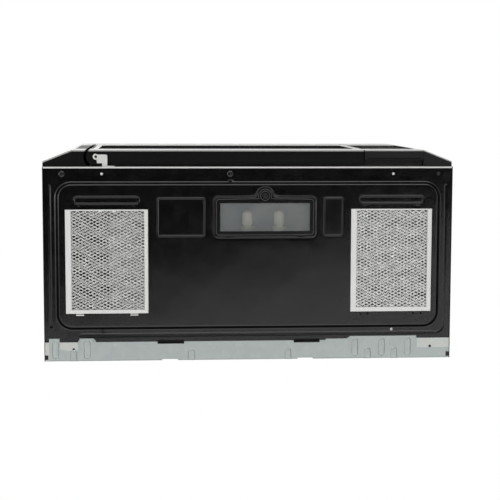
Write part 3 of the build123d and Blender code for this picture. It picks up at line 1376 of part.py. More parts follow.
with BuildPart() as door_inner_panel:
    with BuildSketch(facing_front(door_back)) as face:
        rect(inner_panel[0] + glass_fit, inner_panel[1] - glass_fit, inner_panel[2] + glass_fit,
             inner_panel[3] - glass_fit)
        for z in hook_levels:
            rect(hook_x - latch_half, hook_x + latch_half, z - latch_hole[0], z + latch_hole[1],
                 mode=Mode.SUBTRACT)
    extrude(face.sketch, amount=inner_panel_thick)
    # Choke channel round the window, and the thin screen inside it, both open to the front.
    with BuildSketch(facing_front(panel_y + choke[2])) as channel:
        rect(window[0] - choke[0], window[1] + choke[0], window[2] - choke[0], window[3] + choke[0])
        rect(window[0] + choke[1], window[1] - choke[1], window[2] + choke[1], window[3] - choke[1],
             mode=Mode.SUBTRACT)
        rect(window[0] + 2 * choke[1], window[1] - 2 * choke[1], window[2] + 2 * choke[1],
             window[3] - 2 * choke[1])
    extrude(channel.sketch, amount=choke[2], mode=Mode.SUBTRACT)
save(door_inner_panel, "door_inner_panel")

with BuildPart() as latch_hooks:
    with BuildSketch(facing_side(hook_x - hook_thick / 2)):
        rect(body_front - latch_bar[0], body_front - latch_bar[1], hook_levels[0] - latch_bar[2],
             hook_levels[1] + latch_bar[2])
        for z in hook_levels:
            with BuildLine():
                Polyline([(body_front + y, z + rise) for y, rise in hook_shape], close=True)
            make_face()
    extrude(amount=hook_thick)
save(latch_hooks, "latch_hooks")

with BuildPart() as hinge_pins:
    reach = bracket_gap + bracket_thick
    rod((hinge_x, hinge_y, door_bottom - reach), (0, 0, 1), pin_radius, pin_length)
    rod((hinge_x, hinge_y, door_top + reach), (0, 0, -1), pin_radius, pin_length)
save(hinge_pins, "hinge_pins")

with BuildPart() as hinge_brackets:
    for z, up in ((door_bottom - bracket_gap, -1), (door_top + bracket_gap, 1)):
        with BuildSketch(level(z)) as plate:
            spot((hinge_x, hinge_y), bracket_eye)
            rect(hinge_x, hinge_x + bracket_arm[3], hinge_y - bracket_arm[0],
                 hinge_y + bracket_arm[1])
            rect(hinge_x + bracket_arm[2], hinge_x + bracket_arm[3], hinge_y - bracket_arm[0],
                 body_front)
            spot((hinge_x, hinge_y), pin_radius + slip, mode=Mode.SUBTRACT)
        extrude(plate.sketch, amount=up * bracket_thick)
        foot = sorted((z + up * bracket_thick, z - up * bracket_foot[1]))
        block(hinge_x + bracket_arm[2], hinge_x + bracket_foot[0], body_front - bracket_foot[2],
              body_front, *foot)
save(hinge_brackets, "hinge_brackets")

# ---- Fasteners and small pieces ----
def shanks(places, radius):
    """Six-sided outlines of the shanks of the rim's screws, which carry no thread here."""
    with BuildSketch(level(rim)) as outlines:
        with Locations(*places):
            RegularPolygon(radius, 6)
    return outlines.sketch


with BuildPart() as base_screws:
    for place, radius in zip(rim_screws, (rim_screw_heads[0], *rim_screw_heads)):
        rod((*place, rim), (0, 0, -1), radius, rim_screw_head_height)
    extrude(shanks(rim_screws, rim_screw_radius), amount=screw_length)
save(base_screws, "base_screws")

with BuildPart() as plated_fasteners:
    for place in plated_screws:
        rod((*place, rim), (0, 0, -1), *plated_head)
    extrude(shanks(plated_screws, plated_radius), amount=screw_length)
    # Weld nuts under the top, for the bolts through the wall cabinet.
    with BuildSketch(level(body_top)) as nuts:
        with Locations((0, bolt_y)):
            with GridLocations(bolt_spacing, 0, 2, 1):
                RegularPolygon(nut_radius, 6)
                Circle(bolt_radius, mode=Mode.SUBTRACT)
    extrude(nuts.sketch, amount=-nut_thick)
save(plated_fasteners, "plated_fasteners")

with BuildPart() as cord_grommet:
    rod((*cord_hole, height), (0, 0, -1), cord_radius, grommet_depth)
    with Locations((*cord_hole, body_top - grommet_lip / 2)):
        Box(2 * (cord_radius + grommet_lip), 2 * (cord_radius + grommet_lip), grommet_lip)
    rod((*cord_hole, height), (0, 0, -1), grommet_bore, grommet_depth, mode=Mode.SUBTRACT)
save(cord_grommet, "cord_grommet")
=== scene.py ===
import bmesh
import bpy
import numpy as np
from mathutils import Matrix, Vector


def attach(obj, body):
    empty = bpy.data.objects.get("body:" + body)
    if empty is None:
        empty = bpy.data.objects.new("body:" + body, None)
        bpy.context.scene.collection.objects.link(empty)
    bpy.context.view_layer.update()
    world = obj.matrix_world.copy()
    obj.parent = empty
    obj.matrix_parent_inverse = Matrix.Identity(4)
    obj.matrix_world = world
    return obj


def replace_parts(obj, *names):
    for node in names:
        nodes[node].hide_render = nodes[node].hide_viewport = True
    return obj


# An over-the-range microwave oven, seen from below. Metres, +Z up, the door faces -Y, and the
# controls are at +X. The case, front, oven and machinery come with the frame and get their
# finishes here. The finer shapes are modelled here, in millimetres: the pressed bottom panel, the
# grease filters, the bulbs and their collars, the beads of the lamp cover, the ribs of the rear
# flange, the hinge plates, the screws and the marks on the keypad.

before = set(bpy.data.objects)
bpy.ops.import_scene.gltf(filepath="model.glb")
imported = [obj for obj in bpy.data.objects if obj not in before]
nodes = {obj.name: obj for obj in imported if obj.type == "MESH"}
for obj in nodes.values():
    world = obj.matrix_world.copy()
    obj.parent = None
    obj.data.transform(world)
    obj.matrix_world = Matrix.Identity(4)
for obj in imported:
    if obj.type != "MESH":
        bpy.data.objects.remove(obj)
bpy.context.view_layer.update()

MM = 0.001
TOUCHING = 2e-6  # points of a piece that are nearer than this are one


# ---- Nodes and colours ----
def colour(code):
    """Linear red, green, blue and alpha of an sRGB hex colour."""
    parts = [int(code[i:i + 2], 16) / 255 for i in (1, 3, 5)]
    linear = [p / 12.92 if p <= 0.04045 else ((p + 0.055) / 1.055) ** 2.4 for p in parts]
    return (*linear, 1.0)


def feed(node, **inputs):
    """Links or sets a node's inputs, by name with _ for a space, or by number. A node stands for
    its first output."""
    for key, value in inputs.items():
        socket = node.inputs[int(key[1:]) if key[0] == "_" else key.replace("_", " ")]
        if isinstance(value, bpy.types.Node):
            value = value.outputs[0]
        if isinstance(value, bpy.types.NodeSocket):
            node.id_data.links.new(value, socket)
        else:
            socket.default_value = value


def add(tree, kind, settings=(), stops=(), **inputs):
    """Adds a shader node with its settings, a colour ramp's stops of place and sRGB hex colour,
    and its inputs. Settings of one word are a Math node's operation."""
    node = tree.nodes.new("ShaderNode" + kind)
    if isinstance(settings, str):
        settings = {"operation": settings}
    for key, value in dict(settings).items():
        setattr(node, key, value)
    for _ in stops[2:]:
        node.color_ramp.elements.new(0.5)
    for index, (place, code) in enumerate(stops):
        element = node.color_ramp.elements[index]
        element.position, element.color = place, colour(code)
    feed(node, **inputs)
    return node


def finish(name, base, metallic, roughness, **sockets):
    """A new material with one Principled shader. Returns it, its tree, the shader and the
    Object coordinates."""
    made = bpy.data.materials.new(name)
    made.use_nodes = True
    tree = made.node_tree
    shader = tree.nodes["Principled BSDF"]
    feed(shader, Base_Color=colour(base), Metallic=metallic, Roughness=roughness, **sockets)
    return made, tree, shader, add(tree, "TexCoord").outputs["Object"]


def surface(name, base, metallic, roughness, texture, tones, sheen=None, relief=None,
            ends=(0.3, 0.7), kind="TexNoise", settings=(), stretch=None, **sockets):
    """Material under one texture, whose scale is the cells in a metre, or for waves 0.31 times
    the waves in a metre. Between the two ends of its value the base colour runs from one tone
    to the other. The roughness may run over a sheen, and the surface may rise by a relief of
    strength and depth in metres. A stretch draws the texture out into lines."""
    made, tree, shader, place = finish(name, base, metallic, roughness, **sockets)
    if stretch:
        place = add(tree, "Mapping", Vector=place, Scale=stretch)
    pattern = add(tree, kind, settings, Vector=place, **texture)
    share = pattern.outputs["Distance" if kind == "TexVoronoi" else "Fac"]
    feed(shader, Base_Color=add(tree, "ValToRGB", stops=tuple(zip(ends, tones)), Fac=share))
    if sheen:
        feed(shader, Roughness=add(tree, "MapRange", Value=share, To_Min=sheen[0], To_Max=sheen[1]))
    if relief:
        feed(shader, Normal=add(tree, "Bump", Strength=relief[0], Distance=relief[1], Height=share))
    return made


def field(tree, *spans):
    """1 where two coordinates both lie in their spans of coordinate, middle and reach, else 0."""
    first, second = [add(tree, "Math", "COMPARE", _0=axis, _1=middle, _2=reach)
                     for axis, middle, reach in spans]
    return add(tree, "Math", "MULTIPLY", _0=first, _1=second)


def see_through(tree, shader, share):
    """Lets rays pass through a material where the share is 1."""
    mixed = add(tree, "MixShader", _0=share, _1=shader, _2=add(tree, "BsdfTransparent"))
    feed(tree.nodes["Material Output"], Surface=mixed)


# ---- Meshes ----
def squares_of(rows, columns):
    """Corners of each square of a grid of points, row by row, as squares x 4."""
    corner = np.arange(rows - 1)[:, None] * columns + np.arange(columns - 1)
    return np.stack((corner, corner + 1, corner + columns + 1, corner + columns), -1).reshape(-1, 4)


def mesh_of(name, points, faces):
    """Mesh of points in millimetres and the corners of its faces."""
    mesh = bpy.data.meshes.new(name)
    mesh.from_pydata((points.reshape(-1, 3) * MM).tolist(), [], faces.tolist())
    return mesh


def place_mesh(name, mesh, material, body, angle=30.0):
    """Object for a finished mesh: smooth shading but for edges sharper than an angle, its material
    and its body."""
    mesh.polygons.foreach_set("use_smooth", np.ones(len(mesh.polygons), bool))
    mesh.set_sharp_from_angle(angle=np.radians(angle))
    mesh.materials.append(material)
    made = bpy.data.objects.new(name, mesh)
    bpy.context.scene.collection.objects.link(made)
    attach(made, body)
    return made


def piece(name, material, body, grids, angle=30.0):
    """Object of grids of points in millimetres, each rows x columns x 3. Every square of a grid
    is a face, points that coincide are merged, which closes seams and poles, and the faces are
    turned outwards."""
    starts = np.cumsum([0] + [grid.shape[0] * grid.shape[1] for grid in grids])
    faces = [start + squares_of(*grid.shape[:2]) for start, grid in zip(starts, grids)]
    mesh = mesh_of(name, np.concatenate([grid.reshape(-1, 3) for grid in grids]),
                   np.concatenate(faces))
    work = bmesh.new()
    work.from_mesh(mesh)
    bmesh.ops.remove_doubles(work, verts=work.verts, dist=TOUCHING)
    bmesh.ops.dissolve_degenerate(work, edges=work.edges, dist=1e-7)
    bmesh.ops.recalc_face_normals(work, faces=work.faces)
    work.to_mesh(mesh)
    work.free()
    return place_mesh(name, mesh, material, body, angle)


def in_order(mesh):
    """Puts a mesh's faces of four corners in the order of their corners, because the walls that
    join a thickened sheet's two sides come in an order that changes from run to run."""
    points = np.empty(3 * len(mesh.vertices), np.float32)
    corners = np.empty(len(mesh.loops), np.int32)
    mesh.vertices.foreach_get("co", points)
    mesh.loops.foreach_get("vertex_index", corners)
    corners = corners.reshape(-1, 4)
    corners = corners[np.lexsort(corners.T[::-1])]
    mesh.clear_geometry()
    mesh.from_pydata(points.reshape(-1, 3).tolist(), [], corners.tolist())


# ---- Camera ----
eye = Vector((-0.1775, -0.2785, -2.496))
right = Vector((0.99747, -0.00257, -0.07108))
down = Vector((-0.00502, 0.99433, -0.10630))
camera = bpy.data.objects.new("camera", bpy.data.cameras.new("camera"))
bpy.context.scene.collection.objects.link(camera)
up = -(down - down.project(right)).normalized()
away = right.cross(up).normalized()
camera.matrix_world = Matrix.Translation(eye) @ Matrix((right, up, away)).transposed().to_4x4()
camera.data.sensor_width = 36.0
camera.data.lens = 97.8
camera.data.clip_end = 20.0
bpy.context.scene.camera = camera

bpy.context.scene.view_settings.view_transform = "Standard"

# ---- Stage ----
# White studio: a strength of 1 where it is seen, also in gloss and through glass, and less as
# light, because the lamps add to it.
world = bpy.data.worlds.new("studio")
bpy.context.scene.world = world
world.use_nodes = True
sky = world.node_tree
path = add(sky, "LightPath")
seen = add(sky, "Math", "MAXIMUM", _0=path.outputs["Is Camera Ray"],
           _1=path.outputs["Is Transmission Ray"])
shown = add(sky, "Math", "MAXIMUM", _0=seen, _1=path.outputs["Is Glossy Ray"])
feed(sky.nodes["Background"], Color=(1.0, 1.0, 1.0, 1.0),
     Strength=add(sky, "MapRange", Value=shown, To_Min=0.6, To_Max=1.0))


def lamp(name, place, target, size, power):
    """Soft rectangular lamp at a place, turned to a target."""
    light = bpy.data.lights.new(name, "AREA")
    light.shape = "RECTANGLE"
    light.size, light.size_y = size
    light.energy = power
    made = bpy.data.objects.new(name, light)
    bpy.context.scene.collection.objects.link(made)
    made.location = place
    made.rotation_euler = (Vector(target) - Vector(place)).to_track_quat("-Z", "Y").to_euler()


# Two lamps above the floor, and three below it for the underside.
lamp("key", (-1.3, -1.8, 2.0), (0, 0, 0.2), (1.8, 1.8), 20)
lamp("fill", (2.0, -1.2, 1.3), (0, 0, 0.2), (1.6, 1.6), 10)
lamp("strip_front", (0.1, -2.1, -2.2), (0, 0, 0), (3.2, 0.5), 16)
lamp("strip_rear", (0.1, 1.9, -2.2), (0, 0, 0), (3.2, 0.5), 7)
lamp("left_below", (-2.3, -0.1, -2.4), (0, 0, 0), (0.5, 1.8), 8)


def stage_sheet(name, points, material, only_gloss=True):
    """Sheet of the stage from a grid of points in metres, rows x columns x 3. A card is seen in
    gloss alone, so it takes no light from the object."""
    points = np.array(points, float)
    mesh = bpy.data.meshes.new(name)
    mesh.from_pydata(points.reshape(-1, 3).tolist(), [], squares_of(*points.shape[:2]).tolist())
    mesh.materials.append(material)
    made = bpy.data.objects.new(name, mesh)
    bpy.context.scene.collection.objects.link(made)
    if only_gloss:
        made.visible_camera = made.visible_diffuse = made.visible_shadow = False


def level_sheet(xs, ys, height):
    """Rectangle of points at one height, facing up."""
    return [[(x, y, height) for x in xs] for y in ys]


# Matt pale board. It is open to shadow rays, from behind, and to rays that start within 60 mm of
# it, so that the underside of the object is lit and mirrors the studio below.
board_floor, tree, shader, place = finish("matt_floor_board", "#E9E9E7", 0.0, 0.9)
path = add(tree, "LightPath")
near = add(tree, "Math", "LESS_THAN", _0=path.outputs["Ray Length"], _1=0.06)
either = add(tree, "Math", "MAXIMUM", _0=path.outputs["Is Shadow Ray"],
             _1=add(tree, "NewGeometry").outputs["Backfacing"])
grain = add(tree, "TexNoise", Vector=place, Scale=3.0, Detail=2.0)
feed(shader, Base_Color=add(tree, "ValToRGB", stops=((0.3, "#E6E6E4"), (0.7, "#ECECEA")),
                            Fac=grain))
see_through(tree, shader, add(tree, "Math", "MAXIMUM", _0=either, _1=near))
stage_sheet("floor", level_sheet((-4, 4), (-4, 4), -0.0006), board_floor, False)

# Black card behind the camera, which keeps the middle of the glossy panel deep black, as the
# dark room does in the photograph. It fades out towards the wall side.
card_black, tree, shader, place = finish("black_card", "#050505", 0.0, 0.95)
axes = add(tree, "SeparateXYZ", Vector=place)
slant = add(tree, "Math", "MULTIPLY_ADD", _0=axes.outputs["X"], _1=0.22, _2=axes.outputs["Y"])
see_through(tree, shader, add(tree, "MapRange", Value=slant, From_Min=0.3, From_Max=0.53))
stage_sheet("black_card", level_sheet((-1.3, 2.0), (-0.8, 0.7), -2.7), card_black)

# Dark room round the studio below the floor, mirrored by the pan's steep sides, and a dark
# ceiling strip, mirrored by the glass in the front, where the photograph has a black line.
room_dark = surface("dark_room", "#060606", 0.0, 0.95, {"Scale": 0.6}, ("#050505", "#080808"))
turn = np.linspace(0, 2 * np.pi, 49)
ring = np.stack((3.3 * np.cos(turn), 3.3 * np.sin(turn)), -1)
stage_sheet("room_wall", [np.column_stack((ring, np.full(len(ring), z))) for z in (-0.25, -2.0)],
            room_dark)
stage_sheet("ceiling_strip", level_sheet((-1.2, 1.5), (-0.62, -0.2), 3.0), room_dark)

# ---- Painted and enamelled steel ----
# Gloss black baked enamel on pressed steel: deep black that mirrors the studio. Drawn sheet
# keeps a faint ripple 70 mm wide, and sprayed paint an orange peel 2 mm wide. Wiping leaves the
# gloss a little uneven.
black_enamel, tree, shader, place = finish("gloss_black_enamel", "#0C0C0D", 0.0, 0.14)
ripple = add(tree, "TexNoise", Vector=place, Scale=14.0, Detail=1.0)
peel = add(tree, "TexNoise", Vector=place, Scale=500.0, Detail=1.0)
wave = add(tree, "Bump", Distance=0.0006, Height=ripple)
skin = add(tree, "Bump", Strength=0.35, Distance=0.00003, Height=peel, Normal=wave)
dust = add(tree, "TexNoise", Vector=place, Scale=40.0, Detail=4.0, Roughness=0.7)
haze = add(tree, "MapRange", Value=dust, From_Min=0.3, From_Max=0.7, To_Min=0.11, To_Max=0.2)
feed(shader, Normal=skin, Roughness=haze,
     Base_Color=add(tree, "ValToRGB", stops=((0.35, "#0A0A0B"), (0.7, "#101011")), Fac=dust))

# Black powder coat on the wrapped case: softer gloss with a fine pebble 1.2 mm wide.
case_paint, tree, shader, place = finish("black_powder_coat", "#131314", 0.0, 0.34)
pebble = add(tree, "TexNoise", Vector=place, Scale=800.0, Detail=2.0)
worn = add(tree, "TexNoise", Vector=place, Scale=18.0, Detail=4.0)
feed(shader, Normal=add(tree, "Bump", Strength=0.5, Distance=0.00005, Height=pebble),
     Base_Color=add(tree, "ValToRGB", stops=((0.3, "#101011"), (0.7, "#18181A")), Fac=worn))

# Hot-dip galvanised sheet: a dull grey with crystals of zinc 9 mm wide that differ a little in
# tone and in gloss.
zinc, tree, shader, place = finish("galvanised_sheet", "#B2BAB8", 1.0, 0.45)
warp = add(tree, "TexNoise", Vector=place, Scale=120.0, Detail=2.0)
bent = add(tree, "MixRGB", {"blend_type": "LINEAR_LIGHT"}, Fac=0.006, Color1=place,
           Color2=warp.outputs["Color"])
spangle = add(tree, "TexVoronoi", Vector=bent, Scale=110.0)
tone = add(tree, "SeparateColor", Color=spangle.outputs["Color"])
crystals = add(tree, "ValToRGB", stops=((0.0, "#B9C1C0"), (0.5, "#BCC4C2"), (1.0, "#BFC7C4")),
               Fac=tone)
x, y, z = add(tree, "SeparateXYZ", Vector=place).outputs
smudge = add(tree, "TexNoise", Vector=place, Scale=160.0, Detail=3.0)
ragged = add(tree, "Math", "MULTIPLY_ADD", _0=smudge, _1=0.012, _2=y)
# Patches of the rear flange where the plating is pale: from 317 mm to the right end, round
# 335 mm left of the middle, and a narrow one at the left end. The first stops 20 mm from the
# wall, and the second, with a ragged edge, about as far.
right_end = add(tree, "MapRange", Value=x, From_Min=0.3164, From_Max=0.318)
near_left = add(tree, "Math", "COMPARE", _0=x, _1=-0.3345, _2=0.0165)
far_left = add(tree, "Math", "LESS_THAN", _0=x, _1=-0.3708)
inner = add(tree, "MapRange", Value=ragged, From_Min=0.1825, From_Max=0.1795)
straight = add(tree, "Math", "LESS_THAN", _0=y, _1=0.1757)
patches = add(tree, "Math", "MAXIMUM", _0=add(tree, "Math", "MULTIPLY", _0=right_end, _1=straight),
              _1=add(tree, "Math", "MULTIPLY", _0=near_left, _1=inner))
patches = add(tree, "Math", "MAXIMUM", _0=patches, _1=far_left)
low = add(tree, "MapRange", Value=z, From_Min=0.005, From_Max=0.0045)
plated = add(tree, "MixRGB", Fac=add(tree, "Math", "MULTIPLY", _0=patches, _1=low),
             Color1=crystals, Color2=colour("#D3D6D1"))
# The bend at the wall turns away from the light below.
bend = add(tree, "MapRange", Value=y, From_Min=0.1928, From_Max=0.1952, To_Min=0.0, To_Max=0.55)
feed(shader, Base_Color=add(tree, "MixRGB", Fac=bend, Color1=plated, Color2=colour("#7F8685")),
     Roughness=add(tree, "MapRange", Value=tone.outputs[1], To_Min=0.42, To_Max=0.5))

# Bright zinc plate on small steel pieces: smoother and lighter than the galvanised sheet, with
# clouds 4 mm wide.
bright_zinc = surface("bright_zinc_plate", "#E6E7E4", 1.0, 0.5, {"Scale": 250.0, "Detail": 3.0},
                      ("#E3E4E1", "#EAEBE8"), sheen=(0.46, 0.58))

# Turned steel of the hinge pins, painted dark as the shade in the hinges' pin holes, with turning
# lines drawn 2 mm apart so that they show.
shaded_pin_steel = surface("turned_steel_painted_shade", "#2B2B2C", 0.9, 0.35, {"Scale": 160.0},
                    ("#202021", "#353536"), ends=(0.2, 0.8), kind="TexWave",
                    settings={"bands_direction": "Z"})

# Pale grey porcelain enamel of the oven: smooth, with fine darker speckles 1.5 mm wide.
oven_enamel, tree, shader, place = finish("speckled_porcelain_enamel", "#D3D3CE", 0.0, 0.18)
speck = add(tree, "TexVoronoi", Vector=place, Scale=650.0)
cloud = add(tree, "TexNoise", Vector=place, Scale=30.0, Detail=2.0)
feed(shader, Base_Color=add(
    tree, "MixRGB", Fac=add(tree, "MapRange", Value=speck, From_Min=0.12, From_Max=0.2),
    Color1=colour("#A9A9A4"),
    Color2=add(tree, "ValToRGB", stops=((0.3, "#CFCFCA"), (0.7, "#D7D7D2")), Fac=cloud)))

# Black stove paint inside the door: satin, with a slight orange peel 2.4 mm wide.
door_paint = surface("satin_black_paint", "#151516", 0.0, 0.4, {"Scale": 420.0, "Detail": 1.0},
                     ("#131314", "#19191A"), relief=(0.4, 0.00004))


# ---- Stainless trim and moulded black plastic ----
def scratches(tree, place):
    """Fine scratches along X, drawn 0.8 mm apart so that they show."""
    stretched = add(tree, "Mapping", Vector=place, Scale=(7.0, 900.0, 900.0))
    return add(tree, "TexNoise", Vector=stretched, Scale=1.4, Detail=3.0)


# Brushed stainless steel: scratches that stretch the highlights up and down.
brushed, tree, shader, place = finish("brushed_stainless", "#C3C3C1", 1.0, 0.3)
scratch = scratches(tree, place)
feed(shader, Normal=add(tree, "Bump", Strength=0.25, Distance=0.00002, Height=scratch),
     Roughness=add(tree, "MapRange", Value=scratch, From_Min=0.3, From_Max=0.7, To_Min=0.24,
                   To_Max=0.38),
     Base_Color=add(tree, "ValToRGB", stops=((0.3, "#BDBDBB"), (0.7, "#C9C9C7")), Fac=scratch))


def wrapped_trim(name, plastic, light, wrap):
    """Black moulded plastic with a brushed stainless skin that wraps round its outer edge. The
    skin covers what is within wrap metres of the fascia's outline in plan: the lesser of the
    distances to the front line and to the line of the bevelled end."""
    made, tree, shader, place = finish(name, plastic, 0.0, 0.3, Specular_IOR_Level=0.3)
    x, y, z = add(tree, "SeparateXYZ", Vector=place).outputs
    across = add(tree, "Math", "ABSOLUTE", _0=x)
    # Unit normal of the bevel's line, which runs from (379.4, -174.5) to (327, -195.25).
    bevel_x = add(tree, "Math", "MULTIPLY_ADD", _0=across, _1=-0.3682, _2=0.1397 + 0.1745 * 0.9298)
    bevel = add(tree, "Math", "MULTIPLY_ADD", _0=y, _1=0.9298, _2=bevel_x)
    straight = add(tree, "Math", "ADD", _0=y, _1=0.19525)
    inside = add(tree, "Math", "MINIMUM", _0=bevel, _1=straight)
    skin = add(tree, "MapRange", Value=inside, From_Min=wrap + 0.0006, From_Max=wrap - 0.0006)
    # Black inlay that carries the glass on to the bevel, from 80 to 300 mm up.
    inlay = field(tree, (z, 0.19, 0.11), (across, 0.306, 0.0165))
    bare = add(tree, "Math", {"operation": "SUBTRACT", "use_clamp": True}, _0=skin, _1=inlay)
    steel = add(tree, "ValToRGB", stops=((0.3, "#CBCBC9"), (0.7, "#D7D7D5")),
                Fac=scratches(tree, place))
    texture = add(tree, "TexNoise", Vector=place, Scale=900.0, Detail=2.0)
    moulded = add(tree, "ValToRGB", stops=((0.35, plastic), (0.65, light)), Fac=texture)
    # Painted shadow line at the step of the controls' housing, 2.6 mm wide, 15.7 mm behind the
    # front: a dark mark where the step would be in shade.
    line = field(tree, (x, 0.2705, 0.0505), (y, -0.1795, 0.0013))
    moulded = add(tree, "MixRGB", Fac=line, Color1=moulded, Color2=colour("#030303"))
    feed(shader, Base_Color=add(tree, "MixRGB", Fac=bare, Color1=moulded, Color2=steel),
         Metallic=bare, Roughness=add(tree, "MapRange", Value=bare, To_Min=0.3, To_Max=0.42),
         Normal=add(tree, "Bump", Strength=0.12, Distance=0.00003, Height=texture))
    return made


# Steel over black ABS at the door's side, and over charcoal ABS at the controls, which is
# lighter because its face is spark-eroded.
door_trim = wrapped_trim("stainless_over_black_abs", "#080808", "#0C0C0C", 0.0024)
control_trim = wrapped_trim("stainless_over_charcoal_abs", "#1E1E1E", "#242424", 0.0019)

# Black ABS, moulded with a fine grain 1 mm wide that breaks up its gloss.
black_abs = surface("grained_black_abs", "#141414", 0.0, 0.5, {"Scale": 1000.0, "Detail": 2.0},
                    ("#111111", "#1A1A1A"), relief=(0.4, 0.00004), ends=(0.35, 0.65))

# Gloss black ABS of the lamp cover: smooth, with clouds 3 mm wide in its gloss.
cover_abs = surface("smooth_black_abs", "#0B0B0B", 0.0, 0.2, {"Scale": 300.0, "Detail": 2.0},
                    ("#0C0C0C", "#121212"), sheen=(0.18, 0.22))

# Satin black ABS of the beads on the lamp cover, painted pale as a highlight along them, with a
# tone that differs in patches 5 mm wide.
pale_bead_highlight_abs = surface("black_abs_painted_highlight", "#343434", 0.0, 0.4, {"Scale": 200.0, "Detail": 2.0},
                   ("#2C2C2C", "#3C3C3C"))

# Natural acetal of the latch: milky white, a little waxy, with faint flow clouds 17 mm wide.
acetal = surface("natural_acetal", "#D8D6CE", 0.0, 0.38, {"Scale": 60.0, "Detail": 2.0},
                 ("#D2D0C8", "#DEDCD4"), Subsurface_Weight=0.1,
                 Subsurface_Radius=(0.002, 0.002, 0.002))

# Off-white nylon of the fans and rollers: matt, with faint flow clouds 22 mm wide.
nylon = surface("off_white_nylon", "#CBC8BC", 0.0, 0.55, {"Scale": 45.0, "Detail": 3.0},
                ("#C4C1B4", "#D2CFC4"))

# Phenolic switch bodies: dark, with pale flecks of filler 0.8 mm wide.
phenolic = surface("filled_phenolic", "#1D1C1B", 0.0, 0.5, {"Scale": 1200.0},
                   ("#3A3734", "#1B1A19"), ends=(0.1, 0.3), kind="TexVoronoi")

# Carbon pad behind the grille: matt black granules 2.5 mm wide.
charcoal = surface("activated_carbon_pad", "#121212", 0.0, 0.85, {"Scale": 400.0},
                   ("#262626", "#0C0C0C"), relief=(1.0, 0.0008), ends=(0.0, 0.5),
                   kind="TexVoronoi")

# ---- Glass and ceramics ----
# Black door glass: printed black behind, with the window left dark grey behind a screen of
# dots, drawn 3.2 mm apart so that they show.
door_glass, tree, shader, place = finish("printed_black_glass", "#040405", 0.0, 0.04,
                                         Coat_Weight=0.5, Coat_Roughness=0.02)
axes = add(tree, "SeparateXYZ", Vector=place)
face_map = add(tree, "CombineXYZ", X=axes.outputs["X"], Y=axes.outputs["Z"])
screen = add(tree, "TexVoronoi", {"voronoi_dimensions": "2D"}, Vector=face_map, Scale=312.0,
             Randomness=0.0)
holes = add(tree, "MapRange", Value=screen, From_Min=0.34, From_Max=0.28)
centred = add(tree, "Mapping", Vector=face_map, Location=(0.04, -0.1885, 0.0))
window = add(tree, "SeparateXYZ", Vector=centred)
in_x, in_z = [add(tree, "MapRange", Value=add(tree, "Math", "ABSOLUTE", _0=window.outputs[axis]),
                  From_Min=outer, From_Max=inner)
              for axis, outer, inner in (("X", 0.2053, 0.2045), ("Y", 0.0935, 0.0927))]
dots = add(tree, "Math", "MULTIPLY", _0=add(tree, "Math", "MULTIPLY", _0=in_x, _1=in_z), _1=holes)
feed(shader, Base_Color=add(tree, "ValToRGB", stops=((0.0, "#040405"), (1.0, "#1A1C1D")), Fac=dots))

# Black touch panel: polished glass with a faint printed field, as the door's.
touch_glass = surface("polished_black_glass", "#050506", 0.0, 0.05, {"Scale": 25.0, "Detail": 2.0},
                      ("#040405", "#08080A"), Coat_Weight=0.5, Coat_Roughness=0.02)

# Frosted lens: acid-etched glass, a cold grey haze that shows the bulbs behind it softly.
frosted = surface("frosted_glass", "#8C8E8F", 0.0, 0.5, {"Scale": 28.0, "Detail": 2.0},
                  ("#808486", "#989A99"), Alpha=0.32)

# Bulb glass: thin and warm, with a soft sheen, lit a little by what is round it.
bulb_glass = surface("warm_bulb_glass", "#F4F1E4", 0.0, 0.16, {"Scale": 90.0, "Detail": 2.0},
                     ("#F0ECDC", "#F8F6EC"))

# Glazed ceramic of the lamp sockets: warm white under a clear glaze.
ceramic = surface("glazed_ceramic", "#DCD8CC", 0.0, 0.2, {"Scale": 140.0, "Detail": 3.0},
                  ("#D5D1C4", "#E3DFD4"), Coat_Weight=0.4)

# Turntable glass: clear, greenish at its edges, with the slight waves of pressed glass, 17 mm
# wide.
tray_glass = surface("pressed_clear_glass", "#DDE9E5", 0.0, 0.04, {"Scale": 60.0, "Detail": 1.0},
                     ("#D8E6E1", "#E4EEEA"), relief=(0.3, 0.0002), IOR=1.5,
                     Transmission_Weight=0.85)

# Mica sheet: brown-grey flakes 6 mm wide, pressed into a satin plate.
mica, tree, shader, place = finish("pressed_mica", "#A39A85", 0.0, 0.45)
flake = add(tree, "TexVoronoi", Vector=place, Scale=170.0)
tone = add(tree, "SeparateColor", Color=flake.outputs["Color"])
feed(shader, Base_Color=add(tree, "ValToRGB", stops=((0.0, "#958C77"), (1.0, "#B3AA94")), Fac=tone))

# ---- Aluminium, steel and copper inside ----
# Expanded aluminium foil of the filters, with a rolled grain 4 mm wide. It and the strip are only
# partly metallic: as full metals they render 3 to 6 grey levels darker from the photo's camera.
foil = surface("expanded_aluminium_foil", "#F2F2F0", 0.3, 0.3, {"Scale": 260.0, "Detail": 3.0},
               ("#EDEDEB", "#F6F6F4"), sheen=(0.22, 0.4))

# Folded aluminium strip of the filters' frames: pale satin, as even as the foil, with rolling
# lines 1.4 mm apart from front to back.
strip = surface("satin_aluminium_strip", "#F0F0EE", 0.25, 0.45, {"Scale": 1.0, "Detail": 3.0},
                ("#EAEAE8", "#F4F4F2"), stretch=(700.0, 25.0, 700.0))

# Drawn aluminium can and fins: satin, with draw lines 2 mm apart up its side.
DRAW_LINES = (500.0, 500.0, 12.0)
drawn = surface("drawn_aluminium", "#C9CACB", 1.0, 0.34, {"Scale": 1.0, "Detail": 2.0},
                ("#BFC0C1", "#D2D3D4"), stretch=DRAW_LINES)

